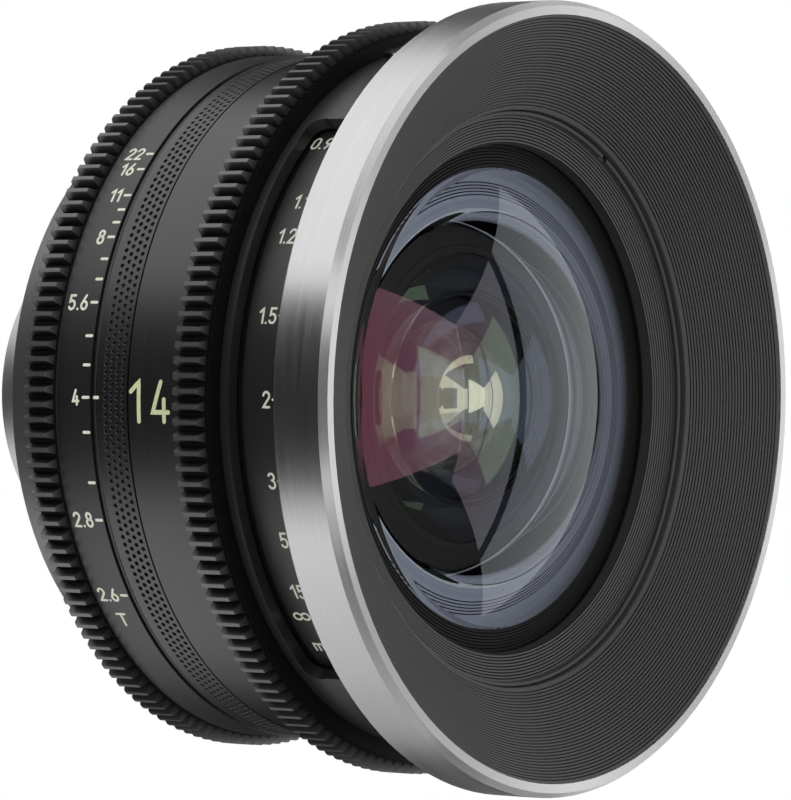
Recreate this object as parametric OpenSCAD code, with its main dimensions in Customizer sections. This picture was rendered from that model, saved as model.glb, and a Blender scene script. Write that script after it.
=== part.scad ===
// Cinema prime lens with geared iris and focus rings, a scale window and a ribbed front hood.
// Turned parts are revolves of [radius, station] profiles. A station is the distance from the
// mount flange towards the front rim. The finished lens is laid down so that its front faces -Y.

/* [Front] */
// Outside diameter of the bright front ring
front_d = 134; // [128:1:146]
// Distance from the mount flange to the front rim
flange_to_front = 92; // [91:0.5:102]
// Width of the bright front ring along the lens
front_ring_w = 10.9; // [9:0.1:12]
// Width of the flat rim between the front bevel and the hood
rim_w = 2.4; // [1.8:0.1:3.5]
// Length of the front bevel along the lens
front_bevel_w = 1.3; // [0.5:0.1:2]
// Height of the front bevel
front_bevel_h = 0.9; // [0.3:0.1:1.2]
// Chamfer on the rear edge of the front ring
rear_chamfer = 0.8; // [0.3:0.1:1.2]
// Diameter of the hood's throat, at the end of its ridges
throat_d = 99.1; // [97:0.5:104]
// Depth of the hood from the front rim to the throat
hood_depth = 9.3; // [8:0.1:10.4]
// Number of light-trap ridges in the hood
hood_ridges = 30; // [12:1:36]
// Depth of each light-trap ridge
ridge_depth = 0.4; // [0.1:0.02:0.5]
// Share of each ridge that is a flat crest
ridge_crest = 0.55; // [0.3:0.05:0.8]

/* [Front glass] */
// Diameter of the front element
front_glass_d = 82; // [79:0.5:85]
// Visible diameter of the front element inside its ring
front_clear_d = 78.4; // [72:0.2:80]
// Radius of the front element's outer face
front_glass_curve = 76; // [68:1:100]
// Radius of the front element's hollow rear face
front_glass_hollow = 32; // [30:0.5:40]
// Diameter of the hollow where it meets the seat
hollow_d = 57.6; // [55:0.2:59]
// Rim of the front element behind the front rim of the lens
glass_rim_depth = 15.6; // [14.6:0.1:16]
// Thickness of the front element at its edge
glass_edge_t = 10.45; // [9:0.05:11]
// Radius of the second element's outer face
second_curve = 44; // [40:1:60]
// Radius of the second element's hollow rear face
second_hollow = 19.5; // [18:0.5:26]

/* [Gears] */
// Module of both gear rings
gear_module = 0.8; // [0.6:0.1:1]
// Tip diameter of the iris gear
iris_gear_d = 122.4; // [121.6:0.8:126]
// Tip diameter of the focus gear
focus_gear_d = 128.8; // [127.2:0.8:131]
// Length of the iris gear's full teeth
iris_tooth_w = 5; // [4:0.1:6]
// Length of the focus gear's full teeth
focus_tooth_w = 5.2; // [4:0.1:5.4]
// Chamfer on the rear ends of the teeth
tooth_chamfer = 0.4; // [0.2:0.1:0.6]

/* [Rings and barrels] */
// Rear face of the iris ring, from the flange
iris_start = 23.4; // [22:0.2:26]
// Width of the iris ring
iris_ring_w = 13.5; // [12:0.1:15]
// Width of the dimpled index ring
index_ring_w = 7.5; // [6:0.1:9]
// Width of the smooth middle barrel
mid_barrel_w = 13.4; // [12:0.1:14]
// Width of the focus ring behind its nose
focus_ring_w = 6.3; // [5.9:0.1:6.6]
// Visible seam between a turning ring and a fixed one
seam = 0.25; // [0.2:0.05:0.6]
// Width of the groove between the index ring and the middle barrel
groove_w = 0.34; // [0.2:0.02:0.6]
// Depth of that groove
groove_depth = 0.6; // [0.3:0.1:1]
// Diameter of the index ring and middle barrel
barrel_d = 118; // [114:0.5:120]
// Diameter of the window sleeve
sleeve_d = 119.6; // [118:0.2:121]
// Wall of the window sleeve
sleeve_wall = 2.2; // [1.6:0.1:2.4]
// Diameter of the focus scale drum
drum_d = 114; // [112:0.2:114.6]
// Diameter of the tube that both rings turn on
journal_d = 106; // [104:0.5:107]
// Bore of that tube
tube_bore_d = 92; // [91:0.5:96]

/* [Scale window] */
// Half of the angle that the window spans
window_half_angle = 50.5; // [30:0.5:60]
// Rear edge of the window, from the sleeve's rear end
window_margin = 1.8; // [0.8:0.1:3]
// Corner radius of the window
window_corner = 2.5; // [1:0.1:4]

/* [Mount] */
// Diameter of the barrel that seats in the camera's port
mount_d = 54; // [53:0.5:55]
// Length of that barrel behind the flange
mount_len = 11.7; // [11:0.1:14]
// Diameter over the flange's four tabs
flange_d = 70; // [66:0.5:72]
// Thickness of the tabs
flange_t = 3; // [2:0.1:4]
// Angle of the gap between two tabs
tab_gap_angle = 38; // [25:1:50]
// Width of the locating notch in each tab
notch_w = 3.1; // [2:0.1:5]
// Diameter of the neck in front of the tabs
neck_d = 60; // [58:0.5:62]
// Length of the neck from the flange plane
neck_len = 9.5; // [8:0.1:9.8]
// Thickness of the shim between the mount and the rear barrel
shim_t = 0.2; // [0.1:0.05:0.4]
// Number of mount screws
mount_screws_n = 6; // [4:1:8]
// Thread diameter of the mount screws
mount_screw_d = 2.5; // [2:0.1:3]

/* [Rear barrel] */
// Diameter of the rear barrel's back edge
rear_edge_d = 102.3; // [101:0.1:106]
// Back edge of the rear barrel, from the flange
rear_edge_s = 12.5; // [11:0.1:14]
// Diameter of the rear barrel beside the iris ring
rear_front_d = 115.2; // [108:0.2:118]
// Thickness of the rear barrel's back wall
rear_wall_t = 4.8; // [4.5:0.1:6]

/* [Iris] */
// Number of iris blades
blades = 9; // [9:1:9]
// Radius of the circle of blade pivots
pivot_r = 15.8; // [15.6:0.1:16.4]
// Inner radius of a blade, wide open
blade_in_r = 10.4; // [10:0.1:11]
// Outer radius of a blade
blade_out_r = 15; // [14.6:0.1:15.1]
// Thickness of a blade
blade_t = 0.2; // [0.1:0.02:0.22]
// Axial pitch of the stacked blades
blade_pitch = 0.3; // [0.26:0.02:0.36]
// Turn of a blade for each degree of the iris ring
blade_ratio = 0.4424; // [0.4:0.0004:0.46]
// Turn of the iris ring from rest to wide open
iris_open = 33.9; // [25:0.1:34]
// Turn of the iris ring from rest to smallest stop
iris_close = 43.4; // [35:0.1:44]

/* [Focus] */
// Turn of the focus ring from rest to infinity
focus_far = 38.7; // [20:0.1:44]
// Turn of the focus ring from rest to its close limit
focus_near = 161.3; // [100:0.1:165]
// Diameter of the moving lens group
group_d = 53.92; // [52:0.02:54.2]

/* [Fits] */
// Radial clearance of parts that turn or slide on each other
run_fit = 0.04; // [0.02:0.01:0.08]
// Radial clearance of parts that are fixed together
fix_fit = 0.05; // [0.02:0.01:0.08]
// Free space beside parts that turn
free_gap = 0.3; // [0.25:0.05:0.4]

/* [Hidden] */
$fn = 120;

// Colours of the finishes
black_anodised = [0.09, 0.09, 0.1];
grey_anodised = [0.2, 0.2, 0.21];
satin_silver = [0.72, 0.72, 0.74];
steel = [0.6, 0.6, 0.62];
chrome = [0.85, 0.85, 0.87];
brass = [0.72, 0.58, 0.3];
white_plastic = [0.85, 0.85, 0.83];
glass_tint = [0.6, 0.7, 0.75, 0.4];

// Stations along the lens, from the flange
s_shim = neck_len;
s_back = s_shim + shim_t;
s_wall = s_back + rear_wall_t;
s_rear_end = iris_start - seam;
s_iris_end = iris_start + iris_ring_w;
s_index = s_iris_end + seam;
s_mid = s_index + index_ring_w;
s_mid_end = s_mid + mid_barrel_w;
s_focus = s_mid_end + seam;
s_focus_end = s_focus + focus_ring_w;
s_sleeve = s_focus_end + seam;
s_ring = flange_to_front - front_ring_w;
s_front = flange_to_front;
s_glass_rim = s_front - glass_rim_depth;
s_land = s_glass_rim - 0.75;
s_seat = s_land - glass_edge_t;

// Radii of the barrels
r_front = front_d / 2;
r_rim = r_front - rim_w;
r_journal = journal_d / 2;
r_bore = tube_bore_d / 2;
r_barrel = barrel_d / 2;
r_sleeve = sleeve_d / 2;
r_sleeve_in = r_sleeve - sleeve_wall;
r_drum = drum_d / 2;
r_turn = r_journal + run_fit;
r_hug = r_journal + fix_fit;

// Gear sizes
addendum = gear_module;
dedendum = 1.25 * gear_module;
flank_angle = 20;
iris_teeth = round(iris_gear_d / gear_module) - 2;
focus_teeth = round(focus_gear_d / gear_module) - 2;
iris_tip_r = (iris_teeth + 2) * gear_module / 2;
iris_root_r = iris_tip_r - addendum - dedendum;
focus_tip_r = (focus_teeth + 2) * gear_module / 2;
focus_root_r = focus_tip_r - addendum - dedendum;
tooth_bevel_w = 0.75;
bevel_land = 0.3;

// Front assembly
web_t = 1.5;
flange_len = 4;
s_hood_back = s_ring;
s_cell_flange = s_hood_back - flange_len;
r_hood = r_rim - fix_fit;
hood_set_back = 0.3;
r_throat = throat_d / 2;
s_throat = s_front - hood_depth;
r_lip = r_throat - 0.7;
r_spigot = r_sleeve - 1.4;
r_retainer = r_lip - fix_fit;
s_retainer_land = s_hood_back - 0.5;
retainer_h = 3.6;
s_retainer = s_retainer_land - retainer_h;
r_retainer_bore = 43.2;
wire_r = 0.4;
r_glass = front_glass_d / 2;
r_clear = front_clear_d / 2;
r_glass_ring = r_retainer_bore - 0.1;
glass_ring_lip = 0.8;
s_glass_ring = s_land - 1.6;
r_cell = r_journal - 0.1;
s_cell = s_focus + 4.7;
s_tube_end = s_focus_end + 1.4;
s_drum = s_sleeve + 2.5;
s_drum_end = s_cell_flange - free_gap;
spigot_len = 1.8;
r_drum_spigot = r_journal + 1.95;
grub_r = 0.7;
grub_tip_r = 0.4;
s_window = s_sleeve + window_margin;
s_window_end = s_drum_end - 0.2;

// Second element
s_second_back = s_seat - 6.5;
second_r = 25.5;
second_lip_t = 0.9;
second_cell_r = hollow_d / 2 + 1.2;
s_second_rim = s_seat - 1.15;
cell_hole_r = hollow_d / 2 - 0.8;

// Iris
core_r = 26.5;
iris_bore_r = 22.05;
rear_bore_r = 17.95;
s_iris = s_iris_end - 9.9;
iris_base_t = 1.5;
s_blades = s_iris + iris_base_t + 0.15;
s_cam = s_iris + 4.5;
cam_t = 1.5;
cam_rim_h = 3;
cam_in_r = 11;
cam_rim_r = 20.2;
s_iris_pin = s_cam + cam_t + cam_rim_h / 3;
iris_pin_r = 1.2;
s_core_end = s_cam + cam_t + cam_rim_h + 0.2;
iris_cover_t = 3;
s_cover_end = s_core_end + iris_cover_t;
iris_pin_angle = 270;
pivot_pin_r = 0.5;
drive_pin_r = 0.4;
drive_arm = 6;
drive_angle = 102;
slot_clear = 0.1;
blade_span = 118;
rest_turn = blade_ratio * iris_open;
stop_margin = 1;

// Focus
s_focus_pin = s_focus + 2.5;
focus_pin_r = 1.7;
focus_pin_angle = 0;
helicoid_in_r = group_d / 2 + run_fit;
helicoid_r = helicoid_in_r + 4;
helicoid_rim_r = r_bore - 1;
s_helicoid = s_cover_end + 0.3;
s_helicoid_flange = s_focus - 3;
helicoid_flange_t = 2;
s_helicoid_end = s_cell - free_gap;
s_group = s_cover_end + 1.3;
group_len = 12.5;
group_bore_r = 16.05;
rod_r = 1.25;
rod_circle_r = (group_bore_r + group_d / 2) / 2;
rod_angles = [60, 180];
rod_root = 2.8;
rod_len = 11.6;

// Rear group
rear_cell_r = rear_bore_r - fix_fit;
rear_bore = 15.55;
s_rear_cell = -8;
s_rear_cell_end = s_iris - 0.2;

// Round ends stand this far proud of the straight sides that they close
blend = 0.04;

// Shared shapes
module laid_down() { rotate([90, 0, 0]) children(); }
module revolve(profile) { rotate_extrude() polygon(profile); }
module tube(r_out, r_in, s0, s1) {
  difference() {
    translate([0, 0, s0]) cylinder(r = r_out, h = s1 - s0);
    translate([0, 0, s0 - 1]) cylinder(r = r_in, h = s1 - s0 + 2);
  }
}
module radial_rod(angle, s, r, from, to) {
  rotate([0, 0, angle]) translate([from, 0, s]) rotate([0, 90, 0]) cylinder(r = r, h = to - from);
}
module sector(r_in, r_out, s0, s1, from, to) {
  rotate([0, 0, from]) rotate_extrude(angle = to - from)
    translate([r_in, s0]) square([r_out - r_in, s1 - s0]);
}
// A slot round the axis with round ends, for a radial pin
module arc_slot(angle_from, angle_to, s, r, r_in, r_out) {
  sector(r_in, r_out, s - r + blend, s + r - blend, angle_from, angle_to);
  radial_rod(angle_from, s, r, r_in, r_out);
  radial_rod(angle_to, s, r, r_in, r_out);
}
module dome(curve, vertex) { translate([0, 0, vertex - curve]) sphere(r = curve, $fn = 160); }

// One straight-flanked tooth is four points on the gear's outline
function on_circle(r, a) = [r * cos(a), r * sin(a)];
function tooth_half(teeth, r) =
  90 / teeth + (teeth * gear_module / 2 - r) * tan(flank_angle) / r * 180 / PI;
function gear_outline(teeth, r_root, r_tip) = [
  for (i = [0 : teeth - 1])
    for (p = [[r_root, -1], [r_tip, -1], [r_tip, 1], [r_root, 1]])
      on_circle(p[0], i * 360 / teeth + p[1] * tooth_half(teeth, p[0]))
];
// Teeth with chamfered rear ends and bevelled front ends
module gear_teeth(teeth, r_root, r_tip, s0, full_w) {
  s_full = s0 + full_w;
  s_end = s_full + tooth_bevel_w;
  intersection() {
    translate([0, 0, s0]) linear_extrude(height = s_end - s0)
      polygon(gear_outline(teeth, r_root, r_tip));
    revolve([[0, s0], [r_tip - tooth_chamfer, s0], [r_tip, s0 + tooth_chamfer], [r_tip, s_full],
             [r_root + bevel_land, s_end], [0, s_end]]);
  }
}

// Mount
mount_r = mount_d / 2;
mount_bore_r = mount_r - 4;
baffle_seat_r = mount_r - 3;
baffle_t = 0.8;
s_baffle = 0.8 - mount_len;
web_bore_r = rear_cell_r + 0.6;
s_web = 2;
screw_circle_r = (web_bore_r + mount_bore_r) / 2 + 0.75;
screw_r = mount_screw_d / 2;
screw_head_r = 0.9 * mount_screw_d;
screw_head_h = 2;
screw_bite = 3.8;
module at_mount_screws() {
  for (i = [0 : mount_screws_n - 1])
    rotate([0, 0, (i + 0.5) * 360 / mount_screws_n]) translate([screw_circle_r, 0, 0]) children();
}
module mount_plate() {
  r_tab = flange_d / 2;
  r_neck = neck_d / 2;
  color(steel) laid_down() difference() {
    revolve([[baffle_seat_r, -mount_len], [mount_r - 0.5, -mount_len], [mount_r, 0.5 - mount_len],
             [mount_r, 0], [r_tab, 0], [r_tab, flange_t], [r_neck, flange_t], [r_neck, s_shim],
             [web_bore_r, s_shim], [web_bore_r, s_web], [mount_bore_r, s_web],
             [mount_bore_r, s_baffle + baffle_t], [baffle_seat_r, s_baffle + baffle_t]]);
    for (i = [0 : 3]) {
      sector(r_neck + 0.5, r_tab + 1, -1, flange_t + 1,
             i * 90 - tab_gap_angle / 2, i * 90 + tab_gap_angle / 2);
      rotate([0, 0, i * 90 + 45]) translate([r_tab - 2, -notch_w / 2, -1]) cube([4, notch_w, flange_t + 2]);
    }
    at_mount_screws() {
      translate([0, 0, s_web - 1]) cylinder(r = screw_r + fix_fit, h = s_shim - s_web + 2);
      translate([0, 0, s_web - 1]) cylinder(r = screw_head_r + fix_fit, h = screw_head_h + 1);
    }
  }
}
module mount_shim() {
  color(brass) laid_down()
    tube(neck_d / 2, screw_circle_r + screw_r + 1.5, s_shim, s_back);
}
module mount_screws() {
  s_head = s_web + screw_head_h;
  color(chrome) laid_down() at_mount_screws() difference() {
    union() {
      translate([0, 0, s_web]) cylinder(r = screw_head_r, h = screw_head_h);
      translate([0, 0, s_head]) cylinder(r = screw_r, h = s_back + screw_bite - s_head);
    }
    translate([0, 0, s_web - 1]) cylinder(r = screw_r * 0.9, h = 2.2, $fn = 6);
  }
}
module rear_baffle() {
  color(black_anodised) laid_down()
    tube(baffle_seat_r - fix_fit, rear_bore - 3, s_baffle, s_baffle + baffle_t);
}

// Fixed barrels
module rear_barrel() {
  r_edge = rear_edge_d / 2;
  r_socket = r_journal - 3;
  color(grey_anodised) laid_down() difference() {
    revolve([[web_bore_r, s_back], [neck_d / 2 + 6, s_back], [r_edge - 0.75, rear_edge_s - 0.5],
             [r_edge, rear_edge_s], [rear_front_d / 2, s_rear_end], [r_socket, s_rear_end],
             [r_socket, s_wall], [web_bore_r, s_wall]]);
    at_mount_screws()
      translate([0, 0, s_back - 1]) cylinder(r = screw_r + fix_fit, h = screw_bite + 1.2);
  }
}
module main_tube() {
  r_plug = r_journal - 3 - fix_fit;
  iris_slot_r = iris_pin_r + free_gap;
  focus_slot_r = focus_pin_r + free_gap;
  color(grey_anodised) laid_down() difference() {
    revolve([[r_bore, s_wall], [r_plug, s_wall], [r_plug, s_rear_end], [r_journal, s_rear_end],
             [r_journal, s_tube_end], [r_bore, s_tube_end]]);
    arc_slot(iris_pin_angle - iris_open - stop_margin, iris_pin_angle + iris_close + stop_margin,
             s_iris_pin, iris_slot_r, r_bore - 1, r_journal + 1);
    arc_slot(focus_pin_angle - focus_far - stop_margin, focus_pin_angle + focus_near + stop_margin,
             s_focus_pin, focus_slot_r, r_bore - 1, r_journal + 1);
  }
}
module iris_thrust_washer() {
  color(white_plastic) laid_down()
    tube(rear_front_d / 2 - 0.6, r_turn, s_rear_end, s_rear_end + seam * 0.75);
}
module index_ring() {
  r_step = r_barrel - groove_depth;
  s_step = s_mid - groove_w / 2;
  score = 0.12;
  s_score = s_index + 0.55;
  color(grey_anodised) laid_down()
    revolve([[r_hug, s_index], [r_barrel, s_index], [r_barrel, s_score - score],
             [r_barrel - score, s_score], [r_barrel, s_score + score], [r_barrel, s_step],
             [r_step, s_step], [r_step, s_mid], [r_hug, s_mid]]);
}
module mid_barrel() {
  r_step = r_barrel - groove_depth;
  s_step = s_mid + groove_w / 2;
  color(grey_anodised) laid_down()
    revolve([[r_hug, s_mid], [r_step, s_mid], [r_step, s_step], [r_barrel, s_step],
             [r_barrel, s_mid_end], [r_hug, s_mid_end]]);
}
module focus_thrust_washer() {
  color(white_plastic) laid_down()
    tube(r_barrel - 2, r_turn, s_mid_end, s_mid_end + seam * 0.75);
}

// Iris ring and its drive pin
module iris_gear_ring() {
  s_smooth = iris_start + iris_tooth_w + tooth_bevel_w;
  score = 0.2;
  s_score = s_smooth + 0.3;
  color(black_anodised) laid_down() difference() {
    union() {
      revolve([[r_turn, iris_start], [iris_root_r - 0.2, iris_start], [iris_root_r - 0.2, s_smooth],
               [iris_root_r, s_smooth], [iris_root_r, s_score - score], [iris_root_r - score, s_score],
               [iris_root_r, s_score + score], [iris_root_r, s_iris_end], [r_turn, s_iris_end]]);
      difference() {
        gear_teeth(iris_teeth, iris_root_r, iris_tip_r, iris_start, iris_tooth_w);
        translate([0, 0, iris_start - 1]) cylinder(r = r_turn + 1, h = iris_ring_w);
      }
    }
    radial_rod(iris_pin_angle, s_iris_pin, iris_pin_r + fix_fit, r_turn - 1, r_turn + 4);
  }
}
module iris_drive_pin() {
  color(steel) laid_down()
    radial_rod(iris_pin_angle, s_iris_pin, iris_pin_r, cam_rim_r + 0.4, r_turn + 3.8);
}

// Focus ring, scale drum and drive
module focus_gear_ring() {
  r_nose = r_drum;
  s_teeth_end = s_focus + focus_tooth_w + tooth_bevel_w;
  r_front_edge = focus_root_r - 0.2;
  color(black_anodised) laid_down() difference() {
    union() {
      revolve([[r_turn, s_focus], [r_front_edge, s_focus], [r_front_edge, s_focus_end],
               [r_nose, s_focus_end], [r_nose, s_drum - 0.1], [r_drum_spigot + fix_fit, s_drum - 0.1],
               [r_drum_spigot + fix_fit, s_drum - spigot_len], [r_turn, s_drum - spigot_len]]);
      difference() {
        gear_teeth(focus_teeth, focus_root_r, focus_tip_r, s_focus, focus_tooth_w);
        translate([0, 0, s_focus - 1]) cylinder(r = r_turn + 1, h = s_teeth_end);
      }
    }
    radial_rod(focus_pin_angle, s_focus_pin, focus_pin_r + fix_fit, r_turn - 1, r_turn + 4);
    at_drum_screws(grub_r + fix_fit, r_drum_spigot - 1, r_nose + 1);
  }
}
module at_drum_screws(r, from, to) {
  for (i = [0 : 2]) radial_rod(i * 120, s_drum - spigot_len / 2, r, from, to);
}
module focus_scale_drum() {
  r_in = r_journal + 0.6;
  color(black_anodised) laid_down() difference() {
    revolve([[r_in, s_drum - spigot_len + 0.1], [r_drum_spigot, s_drum - spigot_len + 0.1],
             [r_drum_spigot, s_drum - 0.05], [r_drum, s_drum - 0.05], [r_drum, s_drum_end],
             [r_in, s_drum_end]]);
    at_drum_screws(grub_tip_r + fix_fit, r_in - 1, r_drum_spigot + 1);
  }
}
module drum_screws() {
  color(chrome) laid_down() {
    at_drum_screws(grub_tip_r, r_journal + 1.2, r_drum_spigot + 0.2);
    at_drum_screws(grub_r, r_drum_spigot + 0.1, r_drum - 0.3);
  }
}
module focus_drive_pin() {
  color(steel) laid_down()
    radial_rod(focus_pin_angle, s_focus_pin, focus_pin_r, helicoid_rim_r - 3, r_turn + 3.8);
}
module focus_helicoid() {
  s_rim = s_helicoid_flange + helicoid_flange_t;
  color(brass) laid_down() difference() {
    revolve([[helicoid_in_r, s_helicoid], [helicoid_r, s_helicoid], [helicoid_r, s_helicoid_flange],
             [helicoid_rim_r, s_helicoid_flange], [helicoid_rim_r, s_helicoid_end],
             [helicoid_rim_r - 5, s_helicoid_end], [helicoid_rim_r - 5, s_rim], [helicoid_in_r, s_rim]]);
    radial_rod(focus_pin_angle, s_focus_pin, focus_pin_r + fix_fit, helicoid_rim_r - 3.2, helicoid_rim_r + 1);
  }
}
module helicoid_housing() {
  color(grey_anodised) laid_down()
    tube(r_bore - fix_fit, helicoid_r + run_fit, s_helicoid + 2, s_helicoid_flange - free_gap);
}
module focus_guide_rods() {
  color(steel) laid_down() for (a = rod_angles)
    rotate([0, 0, a]) translate([rod_circle_r, 0, s_cover_end - rod_root]) cylinder(r = rod_r, h = rod_len);
}

// Moving lens group
s_group_end = s_group + group_len;
s_group_seat = s_group + 1;
group_rear_t = 5.5;
group_spacer_t = 1;
group_front_t = 3.5;
s_group_spacer = s_group_seat + group_rear_t;
s_group_front = s_group_spacer + group_spacer_t;
s_group_retainer = s_group_front + group_front_t;
r_group_glass = group_bore_r - fix_fit;
module focus_cell() {
  color(black_anodised) laid_down() difference() {
    revolve([[group_bore_r - 2.5, s_group], [group_d / 2, s_group], [group_d / 2, s_group_end],
             [group_bore_r, s_group_end], [group_bore_r, s_group_seat], [group_bore_r - 2.5, s_group_seat]]);
    for (a = rod_angles)
      rotate([0, 0, a]) translate([rod_circle_r, 0, s_group - 1])
        cylinder(r = rod_r + run_fit, h = group_len - 0.5);
  }
}
module focus_element_rear() {
  color(glass_tint) laid_down() intersection() {
    translate([0, 0, s_group_seat]) cylinder(r = r_group_glass, h = group_rear_t);
    dome(70, s_group_spacer);
  }
}
module focus_spacer() {
  color(black_anodised) laid_down()
    tube(r_group_glass, r_group_glass - 1.5, s_group_spacer, s_group_front);
}
module focus_element_front() {
  color(glass_tint) laid_down() difference() {
    translate([0, 0, s_group_front]) cylinder(r = r_group_glass, h = group_front_t);
    translate([0, 0, s_group_front + 2 + 60]) sphere(r = 60, $fn = 160);
  }
}
module focus_retainer() {
  color(black_anodised) laid_down()
    tube(r_group_glass, r_group_glass - 1.6, s_group_retainer, s_group_end);
}

// Window sleeve and its screw
window_mid = 180;
module window_cut() {
  corner_angle = (window_corner - 3 * blend) / r_sleeve * 180 / PI;
  in_r = r_sleeve_in - 1;
  out_r = r_sleeve + 1;
  a0 = window_mid - window_half_angle;
  a1 = window_mid + window_half_angle;
  sector(in_r, out_r, s_window + window_corner, s_window_end - window_corner, a0, a1);
  sector(in_r - 0.5, out_r + 0.5, s_window, s_window_end, a0 + corner_angle, a1 - corner_angle);
  for (a = [a0 + corner_angle, a1 - corner_angle], s = [s_window + window_corner, s_window_end - window_corner])
    radial_rod(a, s, window_corner + blend, in_r, out_r);
}
knob_angle = 107;
knob_r = 2.3;
knob_h = 1.5;
s_knob = s_sleeve + 4;
r_knob_seat = r_sleeve - 0.1;
module window_sleeve() {
  color(grey_anodised) laid_down() difference() {
    tube(r_sleeve, r_sleeve_in, s_sleeve, s_ring);
    window_cut();
    radial_rod(knob_angle, s_knob, knob_r + 0.15, r_knob_seat, r_sleeve + 1);
    radial_rod(knob_angle, s_knob, knob_r / 2 + fix_fit, r_sleeve_in - 1, r_sleeve + 1);
  }
}
module sleeve_screw() {
  color(chrome) laid_down() difference() {
    union() {
      radial_rod(knob_angle, s_knob, knob_r, r_knob_seat, r_knob_seat + knob_h);
      radial_rod(knob_angle, s_knob, knob_r / 2, r_sleeve_in + 0.3, r_knob_seat);
    }
    radial_rod(knob_angle, s_knob, knob_r * 0.55, r_knob_seat + knob_h - 0.7, r_knob_seat + knob_h + 1, $fn = 6);
  }
}

// Front ring and hood
module front_ring() {
  r_web = r_spigot + fix_fit;
  color(satin_silver) laid_down()
    revolve([[r_web, s_ring], [r_front - rear_chamfer, s_ring], [r_front, s_ring + rear_chamfer],
             [r_front, s_front - front_bevel_w], [r_front - front_bevel_h, s_front], [r_rim, s_front],
             [r_rim, s_ring + web_t], [r_web, s_ring + web_t]]);
}
// Light-trap ridges along a line: a flat crest, then a groove set back along the line's normal
function ridge_points(from, to, count, depth) =
  let (run = to - from, normal = [-run[1], run[0]] / norm(run), groove = (1 + ridge_crest) / 2)
  [for (i = [0 : count - 1], k = [0, ridge_crest, groove])
    from + run * (i + k) / count + normal * (k == groove ? depth : 0)];
module hood() {
  crest = [r_hood - 0.2, s_front - hood_set_back - 0.1];
  color(black_anodised) laid_down()
    revolve(concat(
      [[r_spigot, s_hood_back], [r_spigot, s_ring + web_t], [r_hood, s_ring + web_t],
       [r_hood, s_front - hood_set_back]],
      ridge_points(crest, [r_throat, s_throat], hood_ridges, ridge_depth),
      [[r_throat, s_throat], [r_throat - 0.6, s_throat - 0.4], [r_lip, s_throat - 0.6],
       [r_lip, s_hood_back]]));
}
snap_gap_angle = 59;
snap_gap = 1.6;
module hood_snap_ring() {
  color(black_anodised) laid_down() rotate([0, 0, snap_gap_angle + snap_gap / 2])
    rotate_extrude(angle = 360 - snap_gap)
      translate([r_lip - wire_r - fix_fit, s_retainer_land + wire_r + 0.01]) circle(r = wire_r, $fn = 24);
}
retainer_ridges = 9;
retainer_ridge_depth = 0.5;
module front_retainer() {
  land = r_retainer - 0.85;
  inner_s = s_retainer_land - 1.8;
  color(black_anodised) laid_down()
    revolve(concat(
      [[r_retainer_bore, s_retainer], [r_retainer, s_retainer], [r_retainer, s_retainer_land],
       [land, s_retainer_land]],
      ridge_points([land - 0.1, s_retainer_land - 0.5], [r_retainer_bore + 0.1, inner_s],
                   retainer_ridges, retainer_ridge_depth),
      [[r_retainer_bore, inner_s]]));
}
ring_ridges = 6;
module glass_ring() {
  r_in = r_glass + fix_fit;
  r_nip = r_clear + 0.1;
  s_top = s_land + fix_fit + glass_ring_lip;
  color(black_anodised) laid_down()
    revolve(concat(
      [[r_in, s_glass_ring], [r_glass_ring, s_glass_ring], [r_glass_ring, s_top - 0.3]],
      ridge_points([r_glass_ring - 0.2, s_top - 0.3], [r_nip + 0.5, s_top], ring_ridges, 0.25),
      [[r_nip + 0.5, s_top], [r_nip, s_top - 0.3], [r_nip, s_land + fix_fit], [r_in, s_land + fix_fit]]));
}
module front_element() {
  sag = front_glass_curve - sqrt(pow(front_glass_curve, 2) - pow(r_clear, 2));
  s_apex = s_glass_rim + sag;
  hollow_r = hollow_d / 2;
  hollow_depth = front_glass_hollow - sqrt(pow(front_glass_hollow, 2) - pow(hollow_r, 2));
  color(glass_tint) laid_down() difference() {
    intersection() {
      translate([0, 0, s_seat]) cylinder(r = r_glass, h = s_apex - s_seat + 1);
      dome(front_glass_curve, s_apex);
    }
    dome(front_glass_hollow, s_seat + hollow_depth);
    tube(r_glass + 2, r_clear, s_land, s_apex);
  }
}
// Ridged seat behind the front glass, seen through its rim
seat_t = 1;
seat_ridges = 5;
module glass_seat() {
  r_in = hollow_d / 2 - 0.3;
  ridge_in = r_in + 2.4;
  ridge_out = ridge_in + 2.7;
  color(grey_anodised) laid_down()
    revolve(concat(
      [[r_in, s_seat - seat_t], [r_glass, s_seat - seat_t], [r_glass, s_seat], [ridge_out, s_seat]],
      ridge_points([ridge_out, s_seat], [ridge_in, s_seat], seat_ridges, 0.25),
      [[ridge_in, s_seat], [r_in, s_seat]]));
}
module front_cell() {
  r_seat = r_glass + fix_fit;
  color(black_anodised) laid_down()
    revolve([[cell_hole_r, s_cell], [r_bore - fix_fit, s_cell], [r_bore - fix_fit, s_tube_end],
             [r_cell, s_tube_end], [r_cell, s_cell_flange], [r_sleeve_in - fix_fit, s_cell_flange],
             [r_sleeve_in - fix_fit, s_hood_back], [r_retainer + fix_fit, s_hood_back],
             [r_retainer + fix_fit, s_retainer], [r_glass_ring + fix_fit, s_retainer],
             [r_glass_ring + fix_fit, s_glass_ring], [r_seat, s_glass_ring], [r_seat, s_seat - seat_t],
             [cell_hole_r, s_seat - seat_t]]);
}

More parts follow.
